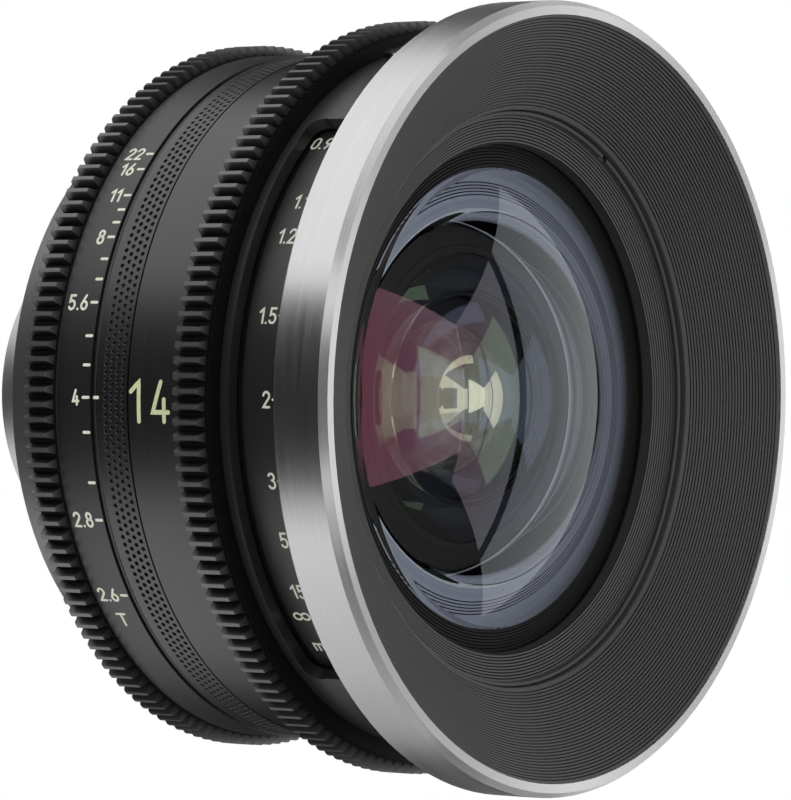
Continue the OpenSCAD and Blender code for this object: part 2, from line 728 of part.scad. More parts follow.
// Second element in its own cell
module second_cell() {
  r_seat = second_r + fix_fit;
  color(black_anodised) laid_down()
    revolve([[second_r - 4.5, s_second_back], [second_cell_r, s_second_back], [second_cell_r, s_cell],
             [cell_hole_r - fix_fit, s_cell], [cell_hole_r - fix_fit, s_seat - 0.2], [r_seat, s_seat - 0.2],
             [r_seat, s_second_back + second_lip_t], [second_r - 4.5, s_second_back + second_lip_t]]);
}
module second_element() {
  s_rear = s_second_back + second_lip_t;
  clear_r = second_r - 1.3;
  sag = second_curve - sqrt(pow(second_curve, 2) - pow(clear_r, 2));
  hollow_r = second_r - 8.5;
  color(glass_tint) laid_down() difference() {
    intersection() {
      translate([0, 0, s_rear]) cylinder(r = second_r, h = 20);
      dome(second_curve, s_second_rim + 0.25 + sag);
    }
    dome(second_hollow, s_rear + second_hollow - sqrt(pow(second_hollow, 2) - pow(hollow_r, 2)));
    tube(second_r + 2, clear_r, s_second_rim, s_second_rim + 20);
  }
}
module second_retainer() {
  color(black_anodised) laid_down()
    tube(second_r, second_r - 1.2, s_second_rim, s_seat - 0.2);
}

// Core tube and iris
module core_tube() {
  color(grey_anodised) laid_down() difference() {
    revolve([[rear_bore_r, s_wall], [r_bore - fix_fit, s_wall], [r_bore - fix_fit, s_wall + 3],
             [core_r, s_wall + 3], [core_r, s_core_end], [iris_bore_r, s_core_end],
             [iris_bore_r, s_iris], [rear_bore_r, s_iris]]);
    arc_slot(iris_pin_angle - iris_open - stop_margin, iris_pin_angle + iris_close + stop_margin,
             s_iris_pin, iris_pin_r + free_gap, iris_bore_r - 1, core_r + 1);
  }
}
module at_pivot(i) { rotate([0, 0, i * 360 / blades]) translate([pivot_r, 0, 0]) children(); }
module iris_base() {
  color(grey_anodised) laid_down() difference() {
    tube(iris_bore_r - fix_fit, blade_in_r - 0.5, s_iris, s_iris + iris_base_t);
    for (i = [0 : blades - 1])
      at_pivot(i) translate([0, 0, s_iris + 0.3]) cylinder(r = pivot_pin_r + run_fit, h = iris_base_t);
  }
}
// Place of a blade's drive pin, with the blade turned from wide open
function drive_pin_at(turn) =
  [pivot_r + drive_arm * cos(drive_angle - turn), -drive_arm * sin(drive_angle - turn)];
function turned(p, a) = [p[0] * cos(a) - p[1] * sin(a), p[0] * sin(a) + p[1] * cos(a)];
// The pin's path on the cam ring, from the ring's angle counted from rest
function cam_path(ring_angle) =
  turned(drive_pin_at(rest_turn + blade_ratio * ring_angle), -ring_angle);
function cam_side(ring_angle, side) =
  let (p = cam_path(ring_angle), d = cam_path(ring_angle + 0.5) - cam_path(ring_angle - 0.5))
  p + side * [-d[1], d[0]] / norm(d);
module cam_slot() {
  half_w = drive_pin_r + slot_clear;
  steps = 14;
  from = -iris_open - stop_margin;
  step = (iris_open + iris_close + 2 * stop_margin) / steps;
  angles = [for (i = [0 : steps]) from + i * step];
  polygon(concat([for (a = angles) cam_side(a, half_w)],
                 [for (i = [steps : -1 : 0]) cam_side(angles[i], -half_w)]));
  for (a = [angles[0], angles[steps]]) translate(cam_path(a)) circle(r = half_w, $fn = 24);
}
module iris_cam_ring() {
  r_out = iris_bore_r - run_fit;
  s_top = s_cam + cam_t + cam_rim_h;
  color(black_anodised) laid_down() difference() {
    revolve([[cam_in_r, s_cam], [r_out, s_cam], [r_out, s_top], [cam_rim_r, s_top],
             [cam_rim_r, s_cam + cam_t], [cam_in_r, s_cam + cam_t]]);
    for (i = [0 : blades - 1])
      rotate([0, 0, i * 360 / blades]) translate([0, 0, s_cam - 1]) linear_extrude(height = cam_t + 2) cam_slot();
    radial_rod(iris_pin_angle, s_iris_pin, iris_pin_r + fix_fit, cam_rim_r - 1, r_out + 1);
  }
}
module iris_cover() {
  color(grey_anodised) laid_down()
    difference() {
      tube(core_r, cam_rim_r - 4, s_core_end, s_cover_end);
      for (a = rod_angles)
        rotate([0, 0, a]) translate([rod_circle_r, 0, s_cover_end - rod_root])
          cylinder(r = rod_r + fix_fit, h = rod_root + 1);
    }
}
// Crescent blade, drawn wide open about the lens axis with its pivot on +X
module blade_outline() {
  mid_r = (blade_in_r + blade_out_r) / 2;
  half_w = (blade_out_r - blade_in_r) / 2;
  ear_r = 1.3;
  pin = drive_pin_at(0);
  far = blade_out_r * 2;
  tip = on_circle(mid_r, blade_span);
  intersection() {
    difference() {
      circle(r = blade_out_r);
      circle(r = blade_in_r);
    }
    polygon([[0, 0], [far, 0], [far, far], [0, far], on_circle(far, blade_span)]);
  }
  translate([mid_r, 0]) circle(r = half_w, $fn = 48);
  translate(tip) circle(r = half_w, $fn = 48);
  translate([pivot_r, 0]) circle(r = ear_r, $fn = 32);
  translate(pin) circle(r = ear_r * 0.8, $fn = 32);
  arm_w = ear_r * 0.75;
  along = (pin - [pivot_r, 0]) / drive_arm;
  across = [-along[1], along[0]] * arm_w;
  polygon([[pivot_r, 0] + across, pin + across, pin - across, [pivot_r, 0] - across]);
}
module iris_blade(i) {
  s0 = s_blades + i * blade_pitch;
  pin_top = s_cam + cam_t - 0.2;
  color(black_anodised) laid_down() rotate([0, 0, i * 360 / blades])
    translate([pivot_r, 0, 0]) rotate([0, 0, rest_turn]) translate([-pivot_r, 0, 0]) union() {
      translate([0, 0, s0]) linear_extrude(height = blade_t) blade_outline();
      translate([pivot_r, 0, s_iris + 0.4]) cylinder(r = pivot_pin_r, h = s0 + blade_t - s_iris - 0.4);
      translate([drive_pin_at(0)[0], drive_pin_at(0)[1], s0]) cylinder(r = drive_pin_r, h = pin_top - s0);
    }
}

// Rear group
rear_stack = [4.5, 5, 6, 5.5];
rear_gap = 1.4;
// Front and rear curves of each element in the rear stack
rear_curves = [[90, 60], [60, 80], [55, 120], [70, 55]];
rear_glass_r = rear_bore - fix_fit;
s_rear_stack = s_rear_cell_end - 1;
function stack_top(i) = i == 0 ? s_rear_stack : stack_top(i - 1) - rear_stack[i - 1] - rear_gap;
module rear_cell() {
  collar = 2.1;
  collar_r = web_bore_r - 0.1;
  color(black_anodised) laid_down()
    revolve([[rear_bore, s_rear_cell], [rear_cell_r, s_rear_cell], [rear_cell_r, s_wall - collar],
             [collar_r, s_wall - collar], [collar_r, s_wall], [rear_cell_r, s_wall],
             [rear_cell_r, s_rear_cell_end], [rear_bore - 2.5, s_rear_cell_end],
             [rear_bore - 2.5, s_rear_stack], [rear_bore, s_rear_stack]]);
}
// A lens in the rear stack with a domed front and a domed rear
module rear_glass(i) {
  front_curve = rear_curves[i][0];
  rear_curve = rear_curves[i][1];
  top = stack_top(i);
  bottom = top - rear_stack[i];
  color(glass_tint) laid_down() intersection() {
    translate([0, 0, bottom]) cylinder(r = rear_glass_r, h = rear_stack[i]);
    dome(front_curve, top);
    translate([0, 0, bottom + rear_curve]) sphere(r = rear_curve, $fn = 160);
  }
}
module rear_element_1() { rear_glass(0); }
module rear_element_2() { rear_glass(1); }
module rear_element_3() { rear_glass(2); }
module rear_element_4() { rear_glass(3); }
module rear_spacers() {
  color(black_anodised) laid_down() for (i = [1 : 3])
    tube(rear_glass_r, rear_glass_r - 1.5, stack_top(i), stack_top(i) + rear_gap);
}
module rear_retainer() {
  s_last = stack_top(3) - rear_stack[3];
  color(black_anodised) laid_down()
    tube(rear_glass_r, rear_glass_r - 2.5, s_rear_cell + 0.5, s_last);
}

mount_plate();
mount_shim();
mount_screws();
rear_baffle();
rear_barrel();
main_tube();
iris_thrust_washer();
iris_gear_ring();
iris_drive_pin();
index_ring();
mid_barrel();
focus_thrust_washer();
focus_gear_ring();
focus_scale_drum();
drum_screws();
focus_drive_pin();
focus_helicoid();
helicoid_housing();
focus_guide_rods();
focus_cell();
focus_element_rear();
focus_element_front();
focus_spacer();
focus_retainer();
window_sleeve();
sleeve_screw();
front_ring();
hood();
hood_snap_ring();
front_retainer();
glass_ring();
front_element();
glass_seat();
front_cell();
second_cell();
second_element();
second_retainer();
core_tube();
iris_base();
iris_cam_ring();
iris_cover();
iris_blade(0);  // iris_blade_1
iris_blade(1);  // iris_blade_2
iris_blade(2);  // iris_blade_3
iris_blade(3);  // iris_blade_4
iris_blade(4);  // iris_blade_5
iris_blade(5);  // iris_blade_6
iris_blade(6);  // iris_blade_7
iris_blade(7);  // iris_blade_8
iris_blade(8);  // iris_blade_9
rear_cell();
rear_element_1();
rear_element_2();
rear_element_3();
rear_element_4();
rear_spacers();
rear_retainer();
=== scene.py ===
"""Dress a cinema prime lens: finishes, painted scales, a dimpled ring, coated glass and light."""

import logging
import math
from abc import ABC, abstractmethod
from dataclasses import dataclass, field
from enum import Enum

import bmesh
import bpy
from mathutils import Matrix, Vector


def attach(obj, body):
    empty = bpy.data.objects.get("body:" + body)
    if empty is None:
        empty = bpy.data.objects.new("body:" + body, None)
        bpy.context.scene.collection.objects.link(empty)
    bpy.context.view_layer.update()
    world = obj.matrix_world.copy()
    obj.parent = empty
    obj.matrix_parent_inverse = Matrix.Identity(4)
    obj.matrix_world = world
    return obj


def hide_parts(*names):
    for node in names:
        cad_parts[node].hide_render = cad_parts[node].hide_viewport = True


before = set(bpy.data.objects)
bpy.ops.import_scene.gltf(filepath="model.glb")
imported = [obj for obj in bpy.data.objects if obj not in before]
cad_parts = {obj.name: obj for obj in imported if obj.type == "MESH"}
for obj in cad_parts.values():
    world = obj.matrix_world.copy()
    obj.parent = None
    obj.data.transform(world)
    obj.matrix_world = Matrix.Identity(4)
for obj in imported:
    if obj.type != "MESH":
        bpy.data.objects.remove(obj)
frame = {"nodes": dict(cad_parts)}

LOG = logging.getLogger("lens")
MM = 0.001
Point = tuple[float, float]
Place = tuple[float, float, float]
Colour = tuple[float, float, float]
Socket = bpy.types.NodeSocket
Material = bpy.types.Material
BMesh = bmesh.types.BMesh


class Rides(Enum):
    """The bodies that carry painted marks and replaced pieces."""

    BARREL = "barrel"
    IRIS = "iris_ring"
    FOCUS = "focus_ring"


def ring_point(radius: float, angle: float, station: float) -> Vector:
    """Place a point on the lens.

    Args:
        radius: Distance from the lens axis in millimetres.
        angle: Degrees from the index side, rising over the top of the lens.
        station: Millimetres in front of the mount flange.

    Returns:
        The point in metres.
    """
    turn = math.radians(angle)
    return Vector((-radius * math.cos(turn), -station, radius * math.sin(turn))) * MM


def add_object(name: str, data: bpy.types.ID) -> bpy.types.Object:
    """Put a data block in the scene.

    Args:
        name: The object's name.
        data: Its mesh, lamp or camera.

    Returns:
        The new object.
    """
    made = bpy.data.objects.new(name, data)
    bpy.context.scene.collection.objects.link(made)
    return made


class Shader:
    """A material's node tree, with short calls for the nodes that the finishes share."""

    def __init__(self, name: str) -> None:
        """Start a material with one principled shader.

        Args:
            name: The material's name.
        """
        self.material = bpy.data.materials.new(name)
        self.material.use_nodes = True
        self.tree = self.material.node_tree
        self.surface = next(n for n in self.tree.nodes if n.type == "BSDF_PRINCIPLED")

    def constants(self, values: dict[str, object]) -> None:
        """Write constant values to the shader's own sockets.

        Args:
            values: Socket names and their values.
        """
        for name, value in values.items():
            if isinstance(value, tuple) and len(value) == 3:
                value = (*value, 1.0)
            self.surface.inputs[name].default_value = value

    def node(self, kind: str, **settings: object) -> bpy.types.Node:
        """Add a node.

        Args:
            kind: The node's type without its ShaderNode prefix.
            **settings: Properties to set on it.

        Returns:
            The new node.
        """
        made = self.tree.nodes.new("ShaderNode" + kind)
        for name, value in settings.items():
            setattr(made, name, value)
        return made

    def link(self, source: Socket, target: Socket) -> None:
        """Join an output to an input."""
        self.tree.links.new(source, target)

    def feed(self, name: str, source: Socket) -> None:
        """Drive one of the principled shader's inputs."""
        self.link(source, self.surface.inputs[name])

    def calc(self, operation: str, first: object, second: object = None) -> Socket:
        """Add a math node.

        Args:
            operation: The node's operation.
            first: A socket or a number.
            second: A socket, a number or nothing.

        Returns:
            The result's socket.
        """
        made = self.node("Math", operation=operation)
        for slot, value in zip(made.inputs, (first, second)):
            if isinstance(value, Socket):
                self.link(value, slot)
            elif value is not None:
                slot.default_value = value
        return made.outputs[0]

    def place(self) -> Socket:
        """Return the object coordinates."""
        return self.node("TexCoord").outputs["Object"]

    def radius_and_station(self) -> tuple[Socket, Socket, Socket]:
        """Measure a surface point from the lens axis.

        Returns:
            Sockets for the radius, the station and the angle in radians. The station is the
            object's own y, so it falls towards the front of the lens.
        """
        split = self.node("SeparateXYZ")
        self.link(self.place(), split.inputs[0])
        flat = self.node("CombineXYZ")
        self.link(split.outputs[0], flat.inputs[0])
        self.link(split.outputs[2], flat.inputs[2])
        length = self.node("VectorMath", operation="LENGTH")
        self.link(flat.outputs[0], length.inputs[0])
        angle = self.calc("ARCTAN2", split.outputs[2], split.outputs[0])
        return length.outputs["Value"], split.outputs[1], angle

    def noise(self, size_mm: float, detail: float = 3.0, at: Socket | None = None) -> Socket:
        """Add a noise pattern.

        Args:
            size_mm: The pattern's size in millimetres.
            detail: Its levels of detail.
            at: Coordinates in metres, or none for the object's own.

        Returns:
            The pattern's strength socket.
        """
        made = self.node("TexNoise")
        self.link(self.place() if at is None else at, made.inputs["Vector"])
        made.inputs["Scale"].default_value = 1.0 / (size_mm * MM)
        made.inputs["Detail"].default_value = detail
        return made.outputs[0]

    def turned(self, size_mm: float, wander: float = 0.02) -> Socket:
        """Add the fine lines that a lathe tool leaves round the axis.

        Args:
            size_mm: Distance between lines in millimetres.
            wander: How much the lines change round the turn.

        Returns:
            The pattern's strength socket.
        """
        radius, station, angle = self.radius_and_station()
        lines = self.node("CombineXYZ")
        sway = self.calc("MULTIPLY", self.calc("SINE", angle), wander * MM)
        for source, target in zip((radius, station, sway), lines.inputs):
            self.link(source, target)
        return self.noise(size_mm, detail=4.0, at=lines.outputs[0])

    def ramp(self, strength: Socket, stops: list[tuple[float, Colour]]) -> Socket:
        """Turn a strength into colours.

        Args:
            strength: Socket with values from 0 to 1.
            stops: Places and colours.

        Returns:
            The colour socket.
        """
        made = self.node("ValToRGB")
        line = made.color_ramp.elements
        while len(line) < len(stops):
            line.new(0.5)
        for stop, (at, colour) in zip(line, stops):
            stop.position = at
            stop.color = (*colour, 1.0)
        self.link(strength, made.inputs[0])
        return made.outputs[0]

    def span(self, strength: Socket, low: float, high: float, start: float = 0.3,
             end: float = 0.7) -> Socket:
        """Stretch a strength to a range.

        Args:
            strength: The socket to stretch.
            low: Result at the start value.
            high: Result at the end value.
            start: Strength that gives the low result.
            end: Strength that gives the high result.

        Returns:
            The stretched socket.
        """
        made = self.node("MapRange")
        self.link(strength, made.inputs["Value"])
        ends = {"From Min": start, "From Max": end, "To Min": low, "To Max": high}
        for name, value in ends.items():
            made.inputs[name].default_value = value
        return made.outputs[0]

    def relief(self, height: Socket, depth_mm: float) -> None:
        """Bend the surface normal by a height pattern.

        Args:
            height: Socket with the height from 0 to 1.
            depth_mm: The height's real depth in millimetres.
        """
        made = self.node("Bump")
        made.inputs["Strength"].default_value = 1.0
        made.inputs["Distance"].default_value = depth_mm * MM
        self.link(height, made.inputs["Height"])
        self.feed("Normal", made.outputs[0])


@dataclass(frozen=True)
class Finish(ABC):
    """A named look that builds its own material."""

    name: str

    def material(self) -> Material:
        """Build the material.

        Returns:
            The finished material.
        """
        shader = Shader(self.name)
        self.wire(shader)
        return shader.material

    @abstractmethod
    def wire(self, shader: Shader) -> None:
        """Add the finish's nodes to a new material's tree."""


@dataclass(frozen=True)
class Anodised(Finish):
    """Bead-blasted and anodised metal, with a fine grain and faint turning lines."""

    dark: Colour
    pale: Colour
    roughness: Point
    ior: float = 1.7
    grain_mm: float = 0.12
    grain_depth_mm: float = 0.004
    line_mm: float = 0.35
    dark_at: float = 0.32
    pale_at: float = 0.68

    def wire(self, shader: Shader) -> None:
        """Mix grain and lines into colour and roughness.

        Args:
            shader: The material's nodes.
        """
        grain = shader.noise(self.grain_mm, detail=2.0)
        lines = shader.turned(self.line_mm)
        mean = shader.calc("MULTIPLY", shader.calc("ADD", grain, lines), 0.5)
        stops = [(self.dark_at, self.dark), (self.pale_at, self.pale)]
        shader.feed("Base Color", shader.ramp(mean, stops))
        shader.feed("Roughness", shader.span(mean, *self.roughness))
        shader.relief(grain, self.grain_depth_mm)
        shader.constants({"IOR": self.ior})


@dataclass(frozen=True)
class GearWithPaintedRootShade(Anodised):
    """Anodised gear teeth whose tips are paler and shine more than their roots; the weaker shine at
    the roots is painted shade between the teeth.
    """

    tip_r: float = 61.2
    tooth: float = 1.7
    teeth_end: float = 90.0
    blend: float = 0.1
    tip_pale_depth: float = 0.5
    tip_pale_share: float = 0.75
    grain_share: float = 0.25
    root_painted_shade_gloss: float = 0.04
    tip_gloss: float = 0.9
    plain_gloss: float = 0.5
    tip_colour: Colour = (0.05, 0.05, 0.053)
    tip_colour_stops: tuple[float, float, float] = (0.1, 0.6, 1.0)

    def wire(self, shader: Shader) -> None:
        """Make the tips paler, and paint shade into the roots by turning their shine down, up to
        the station where the teeth end.

        Args:
            shader: The material's nodes.
        """
        radius, station, _ = shader.radius_and_station()
        tip = self.tip_r * MM
        grain = shader.noise(self.grain_mm)
        # The base colour grows paler towards the tips.
        tip_pale = shader.span(radius, 0.0, self.tip_pale_share, (self.tip_r - self.tip_pale_depth) * MM, tip)
        tip_tone = shader.calc("ADD", tip_pale, shader.calc("MULTIPLY", grain, self.grain_share))
        stops = list(zip(self.tip_colour_stops, (self.dark, self.pale, self.tip_colour)))
        shader.feed("Base Color", shader.ramp(tip_tone, stops))
        shader.feed("Roughness", shader.span(grain, *self.roughness))
        # Painted shade: the shine drops from the tips to the roots, darkening the gaps between the
        # teeth.
        root = (self.tip_r - self.tooth) * MM
        gloss = shader.span(radius, self.root_painted_shade_gloss, self.tip_gloss, root, tip)
        beyond, end = -(self.teeth_end + self.blend) * MM, -self.teeth_end * MM
        plain = shader.span(station, self.plain_gloss, 0.0, beyond, end)
        shader.feed("Specular IOR Level", shader.calc("MAXIMUM", gloss, plain))
        shader.relief(grain, self.grain_depth_mm)
        shader.constants({"IOR": self.ior})


@dataclass(frozen=True)
class RibbedSeat(Anodised):
    """Anodised seat with painted shade in the grooves between its ribs."""

    crest_s: float = 65.2
    groove_shade_from: float = 0.02
    groove_shade_to: float = 0.12
    line_share: float = 0.4
    painted_groove_shade: Colour = (0.02, 0.023, 0.03)
    tone_stops: tuple[float, float, float] = (0.1, 0.3, 0.9)

    def wire(self, shader: Shader) -> None:
        """Paint shade onto what lies behind the ribs' crests.

        Args:
            shader: The material's nodes.
        """
        _, station, _ = shader.radius_and_station()
        lines = shader.turned(self.line_mm)
        # Painted shade: the colour darkens with depth behind the crests, in the grooves.
        start, end = (-(self.crest_s - depth) * MM for depth in (self.groove_shade_from, self.groove_shade_to))
        sunk = shader.span(station, 0.0, 1.0, start, end)
        tone = shader.calc("ADD", shader.calc("MULTIPLY", lines, self.line_share), sunk)
        stops = list(zip(self.tone_stops, (self.dark, self.pale, self.painted_groove_shade)))
        shader.feed("Base Color", shader.ramp(tone, stops))
        shader.feed("Roughness", shader.span(lines, *self.roughness))
        shader.relief(lines, self.grain_depth_mm)
        shader.constants({"IOR": self.ior})


@dataclass(frozen=True)
class TurnedMetal(Finish):
    """Bare metal with brushed lines round the axis, and perhaps a duller front face."""

    dark: Colour
    pale: Colour
    roughness: Point
    line_mm: float = 0.18
    line_depth_mm: float = 0.002
    wander: float = 0.6
    anisotropy: float = 0.0
    face_s: float = 0.0
    face_roughness: float = 0.1
    face_anisotropy: float = 0.97
    face_from: float = 0.06
    face_to: float = 0.02

    def wire(self, shader: Shader) -> None:
        """Draw the lines and stretch the highlights along them.

        Args:
            shader: The material's nodes.
        """
        lines = shader.turned(self.line_mm, self.wander)
        shader.feed("Base Color", shader.ramp(lines, [(0.3, self.dark), (0.7, self.pale)]))
        rough = shader.span(lines, *self.roughness)
        if self.face_s:
            _, station, _ = shader.radius_and_station()
            rise = [-(self.face_s - depth) * MM for depth in (self.face_from, self.face_to)]
            duller = shader.span(station, 0.0, self.face_roughness, *rise)
            rough = shader.calc("ADD", rough, duller)
            spread = shader.span(station, self.anisotropy, self.face_anisotropy, *rise)
            shader.feed("Anisotropic", spread)
        shader.feed("Roughness", rough)
        shader.relief(lines, self.line_depth_mm)
        shader.constants({"Metallic": 1.0, "Anisotropic": self.anisotropy,
                          "Anisotropic Rotation": 0.25})
        if self.anisotropy:
            tangent = shader.node("Tangent", direction_type="RADIAL", axis="Y")
            shader.feed("Tangent", tangent.outputs[0])


@dataclass(frozen=True)
class CoatedGlass(Finish):
    """Clear glass with a coloured coating and a blackened ground edge."""

    ior: float
    edge_r: float
    reflection: Colour = (1.0, 1.0, 1.0)
    slanting: Colour | None = None
    upright_at: float = 0.06
    slanting_at: float = 0.34
    clear: Colour = (0.97, 0.985, 0.98)
    black: Colour = (0.004, 0.004, 0.005)
    black_from: float = 0.12
    black_to: float = 0.04

    def wire(self, shader: Shader) -> None:
        """Blacken the edge and tint the reflections.

        Args:
            shader: The material's nodes.
        """
        radius, _, _ = shader.radius_and_station()
        start, end = ((self.edge_r - depth) * MM for depth in (self.black_from, self.black_to))
        rim = shader.span(radius, 0.0, 1.0, start, end)
        shader.feed("Base Color", shader.ramp(rim, [(0.0, self.clear), (1.0, self.black)]))
        shader.constants({"Transmission Weight": 1.0, "Roughness": 0.0, "IOR": self.ior,
                          "Specular Tint": self.reflection})
        if self.slanting:
            facing = shader.node("LayerWeight").outputs["Facing"]
            stops = [(self.upright_at, self.reflection), (self.slanting_at, self.slanting)]
            shader.feed("Specular Tint", shader.ramp(facing, stops))


@dataclass(frozen=True)
class ScalePaint(Finish):
    """Pale paint in the engraved marks, a little uneven."""

    thin: Colour
    full: Colour
    patch_mm: float = 0.35
    roughness: Point = (0.45, 0.65)
    bump_mm: float = 0.01

    def wire(self, shader: Shader) -> None:
        """Let the paint thin out in patches.

        Args:
            shader: The material's nodes.
        """
        patch = shader.noise(self.patch_mm)
        shader.feed("Base Color", shader.ramp(patch, [(0.25, self.thin), (0.6, self.full)]))
        shader.feed("Roughness", shader.span(patch, *self.roughness))
        shader.relief(patch, self.bump_mm)
        shader.constants({"IOR": 1.5})


@dataclass(frozen=True)
class StageCoat(Finish):
    """A plain matt coat for the floor and the cards."""

    low: Colour
    full: Colour
    patch_mm: float
    roughness: float
    specular: float = 0.5

    def wire(self, shader: Shader) -> None:
        """Spread two near tones in patches.

        Args:
            shader: The material's nodes.
        """
        patch = shader.noise(self.patch_mm)
        shader.feed("Base Color", shader.ramp(patch, [(0.3, self.low), (0.7, self.full)]))
        shader.constants({"Roughness": self.roughness, "Specular IOR Level": self.specular})


class FinishBook:
    """Every finish on the lens and the nodes that wear it."""

    smooth_black = Anodised(
        "smooth_black_anodised", (0.005, 0.005, 0.006), (0.01, 0.01, 0.011), (0.32, 0.4), ior=1.9)
    rear_satin = Anodised(
        "rear_satin_anodised", (0.008, 0.008, 0.009), (0.014, 0.014, 0.015), (0.34, 0.42), ior=5.0)
    # Black anodising paler than on the other barrels; the extra paleness is painted light, standing
    # in for the reflection that the focus gear blocks on the sleeve and drum.
    sleeve_black_with_painted_light = Anodised(
        "satin_black_anodised", (0.014, 0.014, 0.015), (0.022, 0.022, 0.023), (0.32, 0.4), ior=1.7)
    hood_black = Anodised(
        "hood_black_paint", (0.036, 0.036, 0.037), (0.054, 0.054, 0.056), (0.5, 0.62),
        ior=1.5, grain_mm=0.2, grain_depth_mm=0.01)
    inner_black = Anodised(
        "matt_black_paint", (0.003, 0.003, 0.0036), (0.007, 0.007, 0.008), (0.6, 0.75),
        ior=1.35, grain_mm=0.25, grain_depth_mm=0.012)
    seat_grey = RibbedSeat(
        "blue_grey_seat", (0.36, 0.39, 0.47), (0.46, 0.49, 0.58), (0.5, 0.6), ior=1.4)
    inner_metal = Anodised(
        "dark_grey_anodised", (0.03, 0.03, 0.032), (0.05, 0.05, 0.053), (0.45, 0.55), ior=1.6)
    iris_gear = GearWithPaintedRootShade(
        "iris_gear_black", (0.008, 0.008, 0.009), (0.016, 0.016, 0.017), (0.36, 0.46),
        ior=1.8, tip_r=61.2, teeth_end=29.3)
    focus_gear = GearWithPaintedRootShade(
        "focus_gear_black", (0.008, 0.008, 0.009), (0.016, 0.016, 0.017), (0.36, 0.46),
        ior=1.8, tip_r=64.4)
    ring_silver = TurnedMetal(
        "turned_silver", (0.7, 0.7, 0.71), (0.84, 0.84, 0.85), (0.3, 0.4),
        line_mm=0.14, line_depth_mm=0.0012, anisotropy=0.85, face_s=92.0)
    mount_steel = TurnedMetal(
        "mount_steel", (0.55, 0.55, 0.56), (0.66, 0.66, 0.67), (0.38, 0.46),
        line_mm=0.25, line_depth_mm=0.001)
    bright_steel = TurnedMetal(
        "bright_steel", (0.72, 0.72, 0.73), (0.85, 0.85, 0.86), (0.12, 0.2),
        line_mm=0.1, line_depth_mm=0.001)
    brass = TurnedMetal(
        "turned_brass", (0.6, 0.42, 0.16), (0.76, 0.57, 0.26), (0.25, 0.35), line_mm=0.2)
    washer = Anodised(
        "bearing_plastic", (0.62, 0.62, 0.6), (0.72, 0.72, 0.7), (0.4, 0.5),
        ior=1.45, grain_mm=0.3, grain_depth_mm=0.006)
    front_coat = CoatedGlass(
        "front_glass_magenta_coat", ior=1.6, edge_r=41.0, reflection=(1.05, 0.2, 0.42),
        slanting=(0.8, 0.88, 1.0))
    front_back_coat = CoatedGlass(
        "front_glass_violet_coat", ior=1.3, edge_r=41.0, reflection=(1.6, 1.9, 3.0))
    front_rim = CoatedGlass("front_glass_rim", ior=1.0, edge_r=41.0)
    second_coat = CoatedGlass(
        "second_glass_green_coat", ior=1.6, edge_r=25.5, reflection=(0.9, 1.25, 0.8))
    second_back_coat = CoatedGlass(
        "second_glass_amber_coat", ior=1.35, edge_r=25.5, reflection=(18.0, 17.0, 12.5))
    second_rim = CoatedGlass("second_glass_rim", ior=1.0, edge_r=25.5)
    focus_glass = CoatedGlass("focus_glass", ior=1.6, edge_r=16.0, reflection=(1.0, 0.95, 0.6))
    rear_glass = CoatedGlass("rear_glass", ior=1.6, edge_r=15.5, reflection=(0.7, 0.8, 1.0))
    scale_paint = ScalePaint("scale_paint", (0.7, 0.73, 0.58), (0.86, 0.88, 0.74))
    focal_paint = ScalePaint("focal_number_paint", (0.58, 0.64, 0.34), (0.7, 0.76, 0.44))

    def by_node(self) -> dict[str, Finish]:
        """Pair each CAD node with its finish.

        Returns:
            Finishes by node name.
        """
        blades = " ".join(f"iris_blade_{i}" for i in range(1, 10))
        wearers = (
            (self.smooth_black, "index_ring mid_barrel"),
            (self.rear_satin, "rear_barrel"),
            (self.sleeve_black_with_painted_light, "window_sleeve focus_scale_drum"),
            (self.hood_black, "hood hood_snap_ring front_retainer"),
            (self.inner_black, "glass_ring front_cell second_cell second_retainer focus_cell "
                               "focus_spacer focus_retainer rear_baffle rear_cell rear_retainer "
                               "rear_spacers iris_cam_ring " + blades),
            (self.seat_grey, "glass_seat"),
            (self.inner_metal, "main_tube helicoid_housing core_tube iris_base iris_cover"),
            (self.iris_gear, "iris_gear_ring"),
            (self.focus_gear, "focus_gear_ring"),
            (self.ring_silver, "front_ring"),
            (self.mount_steel, "mount_plate"),
            (self.bright_steel, "mount_screws drum_screws sleeve_screw focus_guide_rods "
                                "iris_drive_pin focus_drive_pin"),
            (self.brass, "mount_shim focus_helicoid"),
            (self.washer, "iris_thrust_washer focus_thrust_washer"),
            (self.focus_glass, "focus_element_front focus_element_rear"),
            (self.rear_glass, "rear_element_1 rear_element_2 rear_element_3 rear_element_4"),
        )
        return {name: finish for finish, names in wearers for name in names.split()}


@dataclass
class Wardrobe:
    """Builds each finish's material once and puts it on nodes and pieces."""

    book: FinishBook
    made: dict[str, Material] = field(default_factory=dict)

    def material(self, finish: Finish) -> Material:
        """Return a finish's material, built on first use."""
        made = self.made.get(finish.name) or finish.material()
        return self.made.setdefault(finish.name, made)

    def dress_nodes(self, nodes: dict[str, bpy.types.Object]) -> None:
        """Give every CAD node its material.

        Args:
            nodes: The CAD objects by node name.
        """
        for name, finish in self.book.by_node().items():
            for slot in nodes[name].material_slots:
                slot.material = self.material(finish)
            LOG.info("%s wears %s", name, finish.name)


def make_piece(name: str, mesh: BMesh, finish: Material, rides: Rides) -> bpy.types.Object:
    """Turn a built mesh into a piece on a body.

    Args:
        name: The piece's name.
        mesh: Its mesh, used up here.
        finish: Its material.
        rides: The body that carries it.

    Returns:
        The piece.
    """
    data = bpy.data.meshes.new(name)
    mesh.to_mesh(data)
    mesh.free()
    data.materials.append(finish)
    piece = add_object(name, data)
    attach(piece, rides.value)
    LOG.info("%s: %d faces on %s", name, len(data.polygons), rides.value)
    return piece


